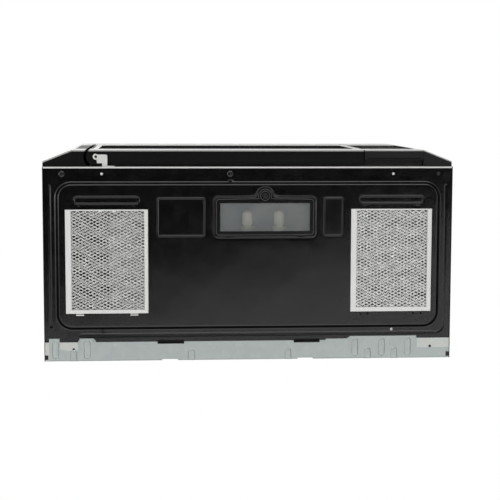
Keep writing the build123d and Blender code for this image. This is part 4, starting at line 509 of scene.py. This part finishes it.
# Capacitor: the drawn can, with its black moulded diode above the terminals, from 168 mm up.
can, tree, shader, place = finish("capacitor_can", "#C5C6C7", 1.0, 0.34)
axes = add(tree, "SeparateXYZ", Vector=place)
above = add(tree, "MapRange", Value=axes.outputs["Z"], From_Min=0.1679, From_Max=0.1682)
stretched = add(tree, "Mapping", Vector=place, Scale=DRAW_LINES)
lines = add(tree, "TexNoise", Vector=stretched, Scale=1.0, Detail=2.0)
side = add(tree, "ValToRGB", stops=((0.3, "#BCBDBE"), (0.7, "#D0D1D2")), Fac=lines)
feed(shader, Base_Color=add(tree, "MixRGB", Fac=above, Color1=side, Color2=colour("#151515")),
     Metallic=add(tree, "MapRange", Value=above, To_Min=1.0, To_Max=0.0))

# Laminated core: varnished steel sheets, drawn 2 mm thick so that they show as dark lines.
core = surface("varnished_steel_laminations", "#4C4A48", 0.7, 0.5,
               {"Scale": 160.0, "Distortion": 0.4}, ("#2C2A28", "#55524F"), relief=(0.5, 0.0002),
               ends=(0.1, 0.5), kind="TexWave", settings={"bands_direction": "Y"})

# Windings: enamelled copper wire laid round the core in even turns, drawn 2.4 mm thick so that
# they show.
copper = surface("enamelled_copper_wire", "#A85A2C", 0.85, 0.34,
                 {"Scale": 130.0, "Distortion": 0.3}, ("#6A3215", "#B9693A"), relief=(0.8, 0.0004),
                 ends=(0.1, 0.6), kind="TexWave", settings={"bands_direction": "Z"})

# Plated steel of the motors and their shaft: satin, with fine clouds 5 mm wide.
motor_steel = surface("plated_motor_steel", "#B2B2AE", 1.0, 0.36, {"Scale": 220.0, "Detail": 4.0},
                      ("#A9A9A5", "#BCBCB8"), sheen=(0.28, 0.46))

# Fibre board of the controls: tan with pale fibres, and black relays behind its back face.
fibre_board, tree, shader, place = finish("phenolic_fibre_board", "#B08F55", 0.0, 0.55)
axes = add(tree, "SeparateXYZ", Vector=place)
back = add(tree, "MapRange", Value=axes.outputs["Y"], From_Min=-0.1796, From_Max=-0.1795)
fibres = add(tree, "TexNoise", Vector=place, Scale=350.0, Detail=4.0)
tan = add(tree, "ValToRGB", stops=((0.35, "#A58449"), (0.65, "#BD9C63")), Fac=fibres)
feed(shader, Base_Color=add(tree, "MixRGB", Fac=back, Color1=tan, Color2=colour("#1A1A1B")))

# Black zinc on the lamp cover's screw: dark, with worn, brighter spots 2 mm wide.
black_zinc = surface("black_zinc_plate", "#2A2A2A", 0.8, 0.36, {"Scale": 500.0, "Detail": 3.0},
                     ("#1E1E1E", "#4A4A4A"), ends=(0.4, 0.75))

# Pale brass lacquer on the pressed collars of the bulbs, with clouds 3 mm wide.
lacquer = surface("pale_brass_lacquer", "#E6DDB8", 0.5, 0.35, {"Scale": 300.0, "Detail": 2.0},
                  ("#DED5AE", "#EEE6C6"))

# Screen-printed grey ink, dim as on a dead-front panel: matt, with a slight mottle 4 mm wide.
ink = surface("screen_printed_ink", "#4A4D50", 0.0, 0.6, {"Scale": 250.0, "Detail": 2.0},
              ("#46494C", "#505356"))

finishes = {
    black_enamel: ("bottom_panel",),
    case_paint: ("outer_case", "base_screws"),
    zinc: ("rear_panel", "exhaust_adapter", "component_tray", "lamp_housing", "waveguide",
           "blower_housing", "damper_flap"),
    bright_zinc: ("front_frame", "hinge_brackets", "plated_fasteners"),
    shaded_pin_steel: ("hinge_pins",),
    oven_enamel: ("oven_cavity",),
    door_paint: ("door_inner_panel",),
    brushed: ("door_button",),
    door_trim: ("left_wing", "vent_grille", "door_body", "door_skin"),
    control_trim: ("control_panel", "right_wing"),
    black_abs: ("latch_body", "filter_clips", "cord_grommet"),
    cover_abs: ("lamp_cover",),
    charcoal: ("charcoal_filter",),
    door_glass: ("door_glass",),
    touch_glass: ("touch_panel",),
    acetal: ("latch_hooks", "release_lever"),
    phenolic: ("interlock_switches",),
    fibre_board: ("control_board",),
    mica: ("waveguide_cover",),
    drawn: ("magnetron",),
    core: ("transformer_core",),
    copper: ("transformer_windings",),
    can: ("hv_capacitor",),
    motor_steel: ("cooling_fan_motor", "blower_motor", "turntable_motor", "blower_shaft"),
    nylon: ("cooling_fan_blade", "blower_wheels", "roller_ring", "roller_1", "roller_2",
            "roller_3", "drive_coupler"),
    foil: ("filter_mesh_left", "filter_mesh_right"),
    strip: ("filter_frame_left", "filter_frame_right"),
    frosted: ("lamp_lens",),
    bulb_glass: ("cooktop_bulbs", "oven_lamp"),
    ceramic: ("lamp_sockets",),
    tray_glass: ("glass_tray",),
    black_zinc: ("lamp_cover_screw",),
}
for material, names in finishes.items():
    for name in names:
        for slot in nodes[name].material_slots:
            slot.material = material

# ---- Pressed bottom panel ----
# Places in plan, as sides in X and ends in Y.
PANEL = ((-378.4, 378.4), (-162.0, 167.0))
PAN, PAN_CORNER, PAN_DEPTH, PAN_SLOPE = ((-351.0, 351.0), (-131.5, 131.0)), 24.0, 4.0, 6.0
FILTER_X, FILTER_Y, FILTER_HALF = (-263.0, 265.5), 9.83, (76.0, 96.5)
TAB_SIDE = 50.0  # of a filter's tabs and nibs from its middle
WELL_PLAY = 0.8
RECESS, RECESS_LIFT = ((-66.0, 124.0), (-109.5, -33.8)), 2.0
LAMP_SCREW = (29.0, -111.3)
WINDOW = ((-54.3, 112.3), (-97.8, -45.5))
WINDOW_PLAY = 2.5
SHEET = 1.0
PRESSED = 0.6  # height of the pressed lines
NOTCH_DEPTH = 4.8  # of a tab's notch behind a filter's well


def rounded_box(x, y, sides, ends, corner):
    """Distance outside a rectangle with round corners, negative inside: the length of what lies
    beyond the smaller rectangle between the corners' middles, less the radius."""
    over_x = np.abs(x - sum(sides) / 2) - (sides[1] - sides[0]) / 2 + corner
    over_y = np.abs(y - sum(ends) / 2) - (ends[1] - ends[0]) / 2 + corner
    return (np.hypot(np.maximum(over_x, 0), np.maximum(over_y, 0))
            + np.minimum(np.maximum(over_x, over_y), 0) - corner)


def soft_ramp(d, start, end, bend):
    """Rises from 0 at start to 1 at end in a straight slope, with bends of a given softness."""
    def corner(u):
        return (u + np.sqrt(u * u + bend * bend)) / 2
    return (corner(d - start) - corner(d - end)) / (end - start)


def groove(d, half=1.25):
    """Pressed line, 1 on its middle and falling off evenly at half its width."""
    return 1 / (1 + (d / half) ** 4)


def pressed_height(x, y):
    """Underside of the panel: the pan's sloping side, plus the nibs, the lines pressed up in the
    pan and in the rim, the lamp's recess, and the dimples of the small holes."""
    height = PAN_DEPTH * soft_ramp(rounded_box(x, y, *PAN, PAN_CORNER), 0.0, PAN_SLOPE, 0.7)
    # An oval line and two nibs in front of each filter, and two plain frames beside the lamp.
    lines = np.zeros_like(x)
    for middle in FILTER_X:
        oval = rounded_box(x, y, (middle - 59.7, middle + 59.7), (-109.6, -97.1), 6.2)
        lines = np.maximum(lines, groove(oval))
        for side in (-TAB_SIDE, TAB_SIDE):
            height = height + 0.45 * np.exp(-(np.hypot(x - middle - side, y + 91.4) / 1.8) ** 2)
    for sides in ((-169.4, -83.6), (139.7, 173.8)):
        lines = np.maximum(lines, groove(rounded_box(x, y, sides, (-106.7, -36.7), 3.0)))
    # Flat-topped lines of the rim: one along the back and one at each side. The right one turns
    # into the one along the back round an arc.
    rim = [rounded_box(x, y, (-313.0, 350.0), (144.0, 149.0), 2.0)]
    rim += [rounded_box(x, y, (side * 367 - 1.5, side * 367 + 1.5), (-131.0, 131.0), 1.4)
            for side in (-1, 1)]
    swing = np.abs(np.hypot(x - 350.0, y - 131.0) - 16.2) - 1.6
    rim.append(np.where((x > 350.0) & (y > 131.0), swing, 9.0))
    for line in rim:
        lines = np.maximum(lines, soft_ramp(-line, -0.6, 0.6, 0.3))
    height = height + PRESSED * lines
    # The recess is a rectangle joined to the screw's circle with soft corners between them: the
    # lesser of the two distances, less a quarter of the square of how near they are to equal.
    flat, circle = (rounded_box(x, y, *RECESS, 8.0),
                    np.hypot(x - LAMP_SCREW[0], y - LAMP_SCREW[1] - 1.2) - 16.6)
    near = np.maximum(7.0 - np.abs(flat - circle), 0) / 7.0
    recess = np.minimum(flat, circle) - near ** 2 * 7.0 / 4
    height = height + RECESS_LIFT * soft_ramp(-recess, -0.4, 1.0, 0.8)
    hole = np.hypot(x + 271.3, y - 140.5)
    drain = rounded_box(x, y, (-38.7, -32.7), (-140.5, -138.5), 0.5)
    height = height + 3.0 * soft_ramp(-hole, -2.6, -1.9, 0.2)
    return height + 2.0 * soft_ramp(-drain, -0.5, 0.3, 0.2)


def lines_of(spans, fixed):
    """Sorted grid lines: each span of start, end and step, and the fixed ones. Lines nearer than
    0.35 mm to a fixed one, or 0.3 mm to the line before, are left out."""
    fixed = np.unique(np.array(fixed, float))
    loose = np.unique(np.concatenate([np.arange(a, b, step) for a, b, step in spans]))
    far = np.abs(loose[:, None] - fixed[None, :]).min(1) > 0.35
    rest = loose[far]
    rest = rest[np.concatenate(([True], np.diff(rest) > 0.3))]
    return np.sort(np.concatenate((rest, fixed)))


wells = [(middle - FILTER_HALF[0] - WELL_PLAY, middle + FILTER_HALF[0] + WELL_PLAY)
         for middle in FILTER_X]
well_y = (FILTER_Y - FILTER_HALF[1] - WELL_PLAY, FILTER_Y + FILTER_HALF[1] + WELL_PLAY)
gap_x, gap_y = [(side[0] - WINDOW_PLAY, side[1] + WINDOW_PLAY) for side in WINDOW]
notches = [(middle + side - 8.3, middle + side + 8.3)
           for middle in FILTER_X for side in (-TAB_SIDE, TAB_SIDE)]
# Spans of start, end and step, finer where the sheet is bent.
grid_x = lines_of(
    [(*PANEL[0], 9.0), (-378.0, -325.0, 1.5), (325.0, 378.4, 1.5), (-326.0, -315.0, 1.0),
     (-213.0, -200.5, 1.0), (203.0, 215.0, 1.0), (315.0, 328.0, 1.0), (-172.0, -166.5, 0.6),
     (-87.0, -81.5, 0.6), (136.8, 143.0, 0.6), (170.5, 177.0, 0.6), (-67.6, -56.0, 0.8),
     (114.0, 125.6, 0.8), (9.0, 49.0, 1.25), (-40.0, -31.5, 0.8), (-275.0, -267.5, 0.7),
     (-316.0, -310.0, 1.0), (212.5, 218.5, 1.0)],
    [*PANEL[0], *sum(wells, ()), *gap_x, *sum(notches, ())])
grid_y = lines_of(
    [(*PANEL[1], 9.0), (-146.0, -124.0, 1.2), (-143.0, -137.0, 0.7), (-130.0, -88.0, 1.2),
     (-111.8, -104.5, 0.7), (-99.5, -94.5, 0.7), (-44.0, -31.5, 0.8), (99.0, 143.0, 1.5),
     (136.5, 144.5, 0.8), (142.5, 150.5, 0.7)],
    [*PANEL[1], *well_y, *gap_y, well_y[1] + NOTCH_DEPTH])


def outside(columns_x, rows_y, openings):
    """Which squares of the panel's grid have their middle outside every opening."""
    middle_x = (columns_x[:-1] + columns_x[1:])[None, :] / 2
    middle_y = (rows_y[:-1] + rows_y[1:])[:, None] / 2
    kept = np.ones((len(rows_y) - 1, len(columns_x) - 1), bool)
    for (x0, x1), (y0, y1) in openings:
        kept &= ~((middle_x > x0) & (middle_x < x1) & (middle_y > y0) & (middle_y < y1))
    return kept.ravel()


openings = [(well, well_y) for well in wells] + [(gap_x, gap_y)]
openings += [(notch, (well_y[1] - 1, well_y[1] + NOTCH_DEPTH)) for notch in notches]
plan_x, plan_y = np.meshgrid(grid_x, grid_y)
underside = np.stack((plan_x, plan_y, pressed_height(plan_x, plan_y)), -1)
# The squares face down, so that the sheet's thickness goes up from them.
squares = squares_of(len(grid_y), len(grid_x))[outside(grid_x, grid_y, openings)][:, [0, 3, 2, 1]]
panel_mesh = mesh_of("pressed_panel", underside, squares)
work = bmesh.new()
work.from_mesh(panel_mesh)
bmesh.ops.delete(work, geom=[v for v in work.verts if not v.link_faces], context="VERTS")
bmesh.ops.solidify(work, geom=work.faces[:], thickness=SHEET * MM)
bmesh.ops.recalc_face_normals(work, faces=work.faces)
work.to_mesh(panel_mesh)
work.free()
in_order(panel_mesh)
panel = place_mesh("pressed_panel", panel_mesh, black_enamel, "cabinet", 60.0)


def framed_profile(sides, ends, profile, widths=(0, 0, 0, 0)):
    """Profile carried round a rectangle with mitred corners, as stations x profile points x 3,
    its last station on the first. Each profile point has an offset inwards, a height, and a
    share of the rail's width that is added to the offset; widths are the left, right, front and
    rear rails'."""
    offset, height, share = np.column_stack((profile, np.zeros(len(profile))))[:, :3].T
    left, right, front, rear = (offset + share * width for width in widths)
    west, east, south, north = sides[0] + left, sides[1] - right, ends[0] + front, ends[1] - rear
    x = np.stack((west, east, east, west, west))
    y = np.stack((south, south, north, north, south))
    return np.stack((x, y, np.broadcast_to(height, x.shape)), -1)


def along(path, profile):
    """Profile of offset and height carried along a closed path in plan, whose last point is its
    first. The offset goes to the path's right-hand side, square to the line through the points
    before and after."""
    path = np.array(path, float)
    step = np.roll(path[:-1], -1, 0) - np.roll(path[:-1], 1, 0)
    step = np.concatenate((step, step[:1]))
    normal = np.stack((step[:, 1], -step[:, 0]), -1) / np.hypot(*step.T)[:, None]
    offset, height = np.array(profile, float).T
    plan = path[:, None] + normal[:, None] * offset[None, :, None]
    return np.concatenate((plan, np.broadcast_to(height[:, None], plan.shape[:2] + (1,))), -1)


def rounded_loop(sides, ends, corner, steps=7):
    """Path round a rectangle with round corners, anticlockwise, its last point its first."""
    turn = np.linspace(0, np.pi / 2, steps)
    middles = ((sides[1] - corner, ends[1] - corner), (sides[0] + corner, ends[1] - corner),
               (sides[0] + corner, ends[0] + corner), (sides[1] - corner, ends[0] + corner))
    arcs = [np.stack((mx + corner * np.cos(turn + quarter * np.pi / 2),
                      my + corner * np.sin(turn + quarter * np.pi / 2)), -1)
            for quarter, (mx, my) in enumerate(middles)]
    return np.concatenate(arcs + [arcs[0][:1]])


def plate(outline, low, high, hole=None):
    """Flat plate between two heights. Its rows run from its middle, or from the edge of a round
    hole, out to the outline below, up, and back in above."""
    outline = np.array(outline, float)
    outline = np.concatenate((outline, outline[:1]))
    if hole:
        ray = outline - np.array(hole[:2])
        inner = np.array(hole[:2]) + hole[2] * ray / np.hypot(*ray.T)[:, None]
    else:
        inner = np.broadcast_to(outline[:-1].mean(0), outline.shape)
    rows = [(inner, low), (outline, low), (outline, high), (inner, high)]
    rows = rows + rows[:1] if hole else rows
    return np.stack([np.column_stack((line, np.full(len(line), z))) for line, z in rows])


# Turned-up wall round each filter's opening, with a lip above the filter. The tab strips lap
# under the rear flange.
well_profile = [(0, 0.05), (0, 9.6), (6.8, 9.6), (6.8, 8.6), (1.0, 8.6), (1.0, 0.05), (0, 0.05)]
well_parts = [framed_profile((well[0] - SHEET, well[1] + SHEET),
                             (well_y[0] - SHEET, well_y[1] + SHEET), well_profile)
              for well in wells]
joggle = np.array([(157.0, 4.0), (158.2, 3.7), (159.4, 2.3), (160.4, 2.0), (164.0, 2.0),
                   (164.0, 3.0), (160.6, 3.0), (159.9, 3.2), (158.9, 4.6), (157.0, 5.0),
                   (157.0, 4.0)])
closed_end = np.broadcast_to(joggle[:-1].mean(0), joggle.shape)
for x0, x1 in ((-170.7, -121.0), (83.7, 132.5)):
    rings = [(x0, closed_end), (x0, joggle), (x1, joggle), (x1, closed_end)]
    well_parts.append(np.stack([np.column_stack((np.full(len(line), x), line))
                                for x, line in rings]))
wells_piece = piece("panel_wells", black_enamel, "cabinet", well_parts)
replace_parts(panel, "bottom_panel")
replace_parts(wells_piece, "bottom_panel")


# ---- Expanded mesh of the grease filters ----
PAD = ((-73.0, 73.0), (-94.8, 92.0))
chance = np.random.default_rng(7)


def strand_layer(middle, level, long_way, short_way, shift, turn, width):
    """One layer of expanded metal as a list of closed tubes. Each strand runs across as a zigzag
    with flats where it meets its neighbour: y = row + short/4 * clipped triangle wave of x, and
    every second row is half a wave on. Points lie at the bends only. Its flat section is tilted
    one way and then the other, and handling has left every point a little out of place."""
    count = int(2 * (PAD[1][1] - PAD[1][0]) / short_way)
    waves = int((PAD[0][1] - PAD[0][0]) / long_way) + 2
    bends = (np.arange(-1, waves)[:, None] + np.array((-0.065, 0.065, 0.435, 0.565))).ravel()
    wave_x = PAD[0][0] + (bends - shift[0]) * long_way
    rows = sum(PAD[1]) / 2 + (np.arange(count) - (count - 1) / 2) * short_way / 2
    phase = bends[None, :] + (np.arange(count) % 2)[:, None] / 2
    swing = np.clip(1.35 * (4 * np.abs(phase - np.floor(phase + 0.5)) - 1), -1, 1)
    y = rows[:, None] + short_way / 4 * swing + shift[1] + chance.normal(0, 0.16, swing.shape)
    y = y + 0.7 * np.sin(wave_x / 17.0 + level)
    x = np.broadcast_to(wave_x, y.shape)
    tilt = 0.8 * np.cos(2 * np.pi * phase) + chance.normal(0, 0.16, phase.shape)
    u = np.array((-0.5, 0.5, 0.5, -0.5, -0.5)) * width
    v = np.array((-0.5, -0.5, 0.5, 0.5, -0.5)) * 0.3
    across = u * np.cos(tilt)[..., None] - v * np.sin(tilt)[..., None]
    rise = u * np.sin(tilt)[..., None] + v * np.cos(tilt)[..., None]
    tube = np.stack((np.broadcast_to(x[..., None], across.shape), y[..., None] + across,
                     level + rise), -1)
    ends = [np.broadcast_to(tube[:, i:i + 1].mean(2, keepdims=True), tube[:, i:i + 1].shape)
            for i in (0, -1)]
    tube = np.concatenate((ends[0], tube, ends[1]), 1)
    c, s = np.cos(turn), np.sin(turn)
    tx = np.clip(tube[..., 0] * c - tube[..., 1] * s, *PAD[0])
    ty = np.clip(tube[..., 0] * s + tube[..., 1] * c, *PAD[1])
    return list(np.stack((tx + middle, ty + FILTER_Y, tube[..., 2]), -1))


# Folded strip of a filter's frame: a channel with a rolled outer edge, a pressed line beside it
# and a curled inner edge. The columns are offset, height and share of the rail's width.
folded = [(0, 1.3, 0), (0.15, 0.75, 0), (0.5, 0.4, 0), (1.1, 0.3, 0), (1.1, 0.3, 0.08),
          (1.3, 0.62, 0.1), (1.4, 0.62, 0.14), (1.5, 0.3, 0.16), (0.2, 0.3, 0.88), (0, 0.45, 0.96),
          (0, 0.9, 1), (-0.2, 1.1, 0.98), (0.6, 1.0, 0.2), (0.6, 1.0, 0), (0.6, 7.6, 0),
          (0.6, 7.7, 1), (0, 8.3, 1), (0.5, 8.3, 0), (0, 7.8, 0), (0, 1.3, 0)]
# Side, middle, lean of its layers, width of a strand, and widths of the rails.
for side, middle, lean, width, rails in (
        ("left", FILTER_X[0], 1, 1.9, (10.8, 6.9, 2.8, 6.9)),
        ("right", FILTER_X[1], -1, 2.5, (10.8, 8.2, 2.8, 8.4))):
    body = f"{side}_filter"
    strands = strand_layer(middle, 2.6, 12.6, 5.8, (0.0, 0.0), 0.012 * lean, width)
    strands += strand_layer(middle, 4.8, 11.0, 7.2, (0.27, 1.1), -0.02 * lean, width)
    pad = piece(f"filter_strands_{side}", foil, body, strands)
    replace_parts(pad, f"filter_mesh_{side}")
    front, rear = FILTER_Y - FILTER_HALF[1], FILTER_Y + FILTER_HALF[1]
    shapes = [framed_profile((middle - FILTER_HALF[0], middle + FILTER_HALF[0]), (front, rear),
                             folded, rails)]
    if side == "left":
        # Rear tabs, and the two ends of the strip, which are folded in at the front.
        tabs = [(x, 7.4, (rear - 1.0, rear + 3.9), 1.2, 0.75, 1.9)
                for x in (middle - TAB_SIDE, middle + TAB_SIDE)]
        tabs += [(x, 3.4, (front + 2.0, front + 5.2), 0.9, 0.5, 1.1) for x in (-274.5, -249.0)]
        shapes += [plate(rounded_loop((x - half, x + half), ends, corner)[:-1], low, high)
                   for x, half, ends, corner, low, high in tabs]
    frame_piece = piece(f"filter_rails_{side}", strip, body, shapes, 40.0)
    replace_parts(frame_piece, f"filter_frame_{side}")


# ---- Turned pieces ----
CROWN_ROWS = 22
DOWN = (0, 0, -1)


def turned(place, profile, sides, axis=(0, 0, 1), cross=None):
    """Profile of radius and height carried round an axis through a place. Points of the head
    inside two crossed slots are sunk in proportion to how far they are from the slots' ends."""
    radius, height = np.array(profile, float).T
    angle = np.linspace(0, 2 * np.pi, sides + 1)
    u, v = radius[:, None] * np.cos(angle), radius[:, None] * np.sin(angle)
    w = np.broadcast_to(height[:, None], u.shape).copy()
    if cross:
        reach, half, depth = cross
        arm = np.minimum(np.abs(u), np.abs(v))
        within = np.clip((half - arm) / (0.35 * half), 0, 1)
        inwards = np.clip((reach - np.hypot(u, v)) / reach, 0, 1) ** 0.5
        head = (np.arange(len(radius)) < CROWN_ROWS)[:, None]
        w = w - depth * within * inwards * head
    turn = Vector((0, 0, 1)).rotation_difference(Vector(axis)).to_matrix()
    return np.stack((u, v, w), -1) @ np.array(turn).T + np.array(place)


def pan_head(radius, height, shank, length):
    """Pan-head screw pointing up: a crown h * (1 - 0.55 * (r/R)^3), a straight side, a flat seat
    and a shank."""
    r = np.linspace(0, 0.96 * radius, CROWN_ROWS)
    crown = np.stack((r, height * (1 - 0.55 * (r / radius) ** 3)), -1)
    return np.concatenate((crown, [(radius, 0.36 * height), (radius, 0), (shank, 0),
                                   (shank, -length), (0, -length)]))


def circle(middle, radius, steps):
    """Closed path round a middle in plan, anticlockwise."""
    turn = np.linspace(0, 2 * np.pi, steps)
    return np.stack((middle[0] + radius * np.cos(turn), middle[1] + radius * np.sin(turn)), -1)


SCREW_Y = -151.7
black_heads = [turned((x, SCREW_Y, 4.0), pan_head(radius, 2.2, 2.0, 7.0), 48, DOWN,
                      (0.5 * radius, 0.11 * radius, 1.3))
               for x, radius in ((-344.5, 6.0), (-35.7, 6.0), (353.2, 4.0))]
bright_heads = [turned((x, y, 4.0), pan_head(2.7, 1.8, 1.8, 7.0), 40, DOWN, (1.6, 0.36, 0.9))
                for x, y in ((-271.3, SCREW_Y), (268.2, SCREW_Y), (268.2, 140.5))]
weld_nut = [(3.2, 0), (7.0, 0), (7.0, -5.2), (6.2, -6.0), (3.6, -6.0), (3.2, -5.6), (3.2, 0)]
bright_heads += [turned((x, -60.0, 418.1), weld_nut, 6) for x in (-250.0, 250.0)]
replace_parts(piece("pan_head_screws", black_enamel, "cabinet", black_heads, 35.0),
            "base_screws")
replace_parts(piece("bright_screws_and_nuts", bright_zinc, "cabinet", bright_heads,
                  35.0), "plated_fasteners")
cover_head = turned((*LAMP_SCREW, 1.2), pan_head(5.5, 0.9, 2.0, 6.0), 48, DOWN, (2.6, 0.55, 0.8))
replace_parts(piece("cover_screw", black_zinc, "lamp_door", [cover_head], 35.0),
            "lamp_cover_screw")

# Tube bulbs: a narrow neck, a straight wall and a round end, lying towards the front. Each
# stands in a pressed collar.
BULB_X, BULB_Z, FORWARD = (-2.0, 57.5), 28.0, (0, -1, 0)
arc = np.linspace(0, np.pi / 2, 12)
bulb = np.concatenate(([(0, 0), (7, 0), (7, 10.5), (7.4, 11.6), (9.2, 12.6), (10, 14)],
                       np.stack((10 * np.cos(arc), 31.3 + 10 * np.sin(arc)), -1)))
bulbs = [turned((x, -42.5, BULB_Z), bulb, 48, FORWARD) for x in BULB_X]
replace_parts(piece("tube_bulbs", bulb_glass, "cabinet", bulbs, 40.0), "cooktop_bulbs")
collar = [(7.3, 0), (13.6, 0), (14.4, 0.5), (14.4, 1.5), (13.6, 2.0), (7.3, 2.0), (7.3, 0)]
collars = [turned((x, -50.0, BULB_Z), collar, 48, FORWARD) for x in BULB_X]
piece("bulb_collars", lacquer, "cabinet", collars, 40.0)

# Beads moulded in the lamp cover: one that follows its edge, round the screw's bump too, and a
# ring round the screw. The bump takes the place of the front edge's middle.
bump = np.linspace(-0.463, np.pi + 0.463, 25)
edge = rounded_loop((-61.2, 119.2), (-104.7, -38.6), 5.2)[:-1]
round_screw = np.array(LAMP_SCREW) - 12.2 * np.stack((np.cos(bump), np.sin(bump)), -1)
edge = np.concatenate((edge[:21], round_screw, edge[21:], edge[:1]))
half_round = [(-0.9, 0.5), (-0.86, 0.34), (-0.45, 0.12), (0, 0.02), (0.45, 0.12), (0.86, 0.34),
              (0.9, 0.5), (-0.9, 0.5)]
beads = [along(path, half_round) for path in (edge, circle(LAMP_SCREW, 8.6, 41))]
# The beads' material is painted pale as a highlight.
piece("lamp_cover_beads", pale_bead_highlight_abs, "lamp_door", beads, 50.0)

# Pressed ribs of the rear flange: flat-topped beads with sloping sides round a straight core,
# the short ones run out at the bend. Dimples and the slanted corners of the laps.
BACK = 195.2
slope = [(0, 3.5), (6.3, 3.5), (6.3, 3.06), (6.0, 2.95), (5.2, 2.0), (4.8, 1.82), (4.5, 1.76),
         (0, 1.76)]


def pressed_rib(x, start, end, profile):
    """Profile of distance and height carried round a core line that runs along Y. The half
    circles at its ends join into straight sides."""
    turn = np.concatenate((np.linspace(0, np.pi, 13), np.linspace(np.pi, 2 * np.pi, 13), [0]))
    core = np.where(np.arange(27) < 13, end, start)
    core[-1] = end
    reach, height = np.array(profile, float).T
    px = x + reach[:, None] * np.cos(turn)
    py = core + reach[:, None] * np.sin(turn)
    return np.stack((px, np.minimum(py, BACK), np.broadcast_to(height[:, None], px.shape)), -1)


ribs = [pressed_rib(x, 162.25, 184.75, slope) for x in (-358.5, -300.7, 199.0, 249.5, 299.0)]
ribs += [pressed_rib(x, 180.5, BACK, slope) for x in (-325.5, -107.5, 73.2, 223.0, 273.2)]
dome = [(0, 0.8), (0.8, 0.75), (1.6, 0.5), (2.3, 0.2), (2.9, 0.0), (2.9, -0.4), (0, -0.4)]
ribs += [turned((x, 167.5, 3.0), dome, 28, DOWN) for x in (-247.5, 262.5)]
ribs += [plate(corners, 3.0, 4.0) for corners in (
    [(-289.0, 153.2), (-288.2, 153.2), (-283.6, 160.2), (-289.0, 160.2)],
    [(-314.0, 154.5), (-314.0, 160.2), (-318.0, 160.2), (-314.8, 154.5)],
    [(190.4, 153.2), (190.4, 157.8), (183.0, 157.8), (189.6, 153.2)],
    [(315.3, 155.0), (318.2, 157.8), (315.3, 157.8)])]
piece("flange_ribs", zinc, "cabinet", ribs, 35.0)

# Hinge plates: an eye round the pin, a broad arm and a leg back to the frame, with a foot that
# is welded to the frame's front. The upper one is the lower one turned over.
PIN, PLATE_THICK, FOOT_TALL = (-282.0, -183.0), 2.0, 34.0
turn = np.linspace(2.0, 4.6, 12)
arm = np.concatenate((np.stack((5.6 * np.cos(turn), 5.6 * np.sin(turn)), -1),
                      [(1.5, -4.6), (4.0, -3.9), (18.0, -3.9), (19.8, -3.4), (20.8, -2.2),
                       (21.0, -1.0), (21.0, 12.0), (3.0, 12.0), (2.2, 11.6), (1.8, 10.8),
                       (1.8, 6.4)])) + np.array(PIN)
leg = np.array([(11.4, 11.9), (21.0, 11.9), (21.0, 18.2), (11.4, 18.2)]) + np.array(PIN)
foot = rounded_loop((-271.0, -248.2), (-166.2, -164.8), 0.5)[:-1]
hinge_plates = []
for base, side in ((10.8, 1), (364.2, -1)):
    low, high = sorted((base, base + side * PLATE_THICK))
    hinge_plates += [plate(arm, low, high, (*PIN, 2.45)), plate(leg, low + 0.01, high - 0.01),
                     plate(foot, *sorted((base, base + side * FOOT_TALL)))]
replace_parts(piece("hinge_plates", bright_zinc, "cabinet", hinge_plates),
            "hinge_brackets")

# ---- Marks on the touch panel ----
# The ink stands 0.08 mm proud of the glass and is sunk 0.03 mm into it.
FACE_Y, PRINT, SUNK = -195.15, 0.08, 0.03
KEY_X, KEY_Z = (245.0, 271.0, 297.0), (232.0, 208.0, 184.0, 160.0)
DIGIT = 12.0


def upright(grid):
    """Turns a plan with heights from the panel's face into an upright print on it."""
    return np.stack((grid[..., 0], FACE_Y + SUNK - grid[..., 2], grid[..., 1]), -1)


key_line = [(0, 0), (0, PRINT + SUNK), (0.5, PRINT + SUNK), (0.5, 0), (0, 0)]
outlines = [rounded_loop((x - 10.0, x + 10.0), (z - 8.5, z + 8.5), 3.0)
            for x in KEY_X for z in KEY_Z]
outlines += [rounded_loop((235.0, 269.0), (106.0, 132.0), 3.0),
             rounded_loop((273.0, 307.0), (106.0, 132.0), 3.0),
             rounded_loop((235.0, 307.0), (256.0, 288.0), 2.0)]
piece("key_outlines", ink, "cabinet", [upright(along(path, key_line)) for path in outlines])

keys = [(str(3 * row + column + 1), column, row) for row in range(3) for column in range(3)]
prints = bmesh.new()
for digit, column, row in keys + [("0", 1, 3)]:
    text = bpy.data.curves.new("digit", "FONT")
    text.body = digit
    text.size = DIGIT * MM
    text.align_x, text.align_y = "CENTER", "CENTER"
    text.extrude = (PRINT + SUNK) / 2 * MM
    holder = bpy.data.objects.new("digit", text)
    flat = bpy.data.meshes.new_from_object(holder)
    flat.transform(Matrix.Translation((KEY_X[column] * MM,
                                       (FACE_Y + SUNK - (PRINT + SUNK) / 2) * MM,
                                       KEY_Z[row] * MM)) @ Matrix.Rotation(np.pi / 2, 4, "X"))
    prints.from_mesh(flat)
    bpy.data.objects.remove(holder)
    bpy.data.curves.remove(text)
bmesh.ops.remove_doubles(prints, verts=prints.verts, dist=TOUCHING)
bmesh.ops.recalc_face_normals(prints, faces=prints.faces)
digits = bpy.data.meshes.new("key_digits")
prints.to_mesh(digits)
prints.free()
place_mesh("key_digits", digits, ink, "cabinet")
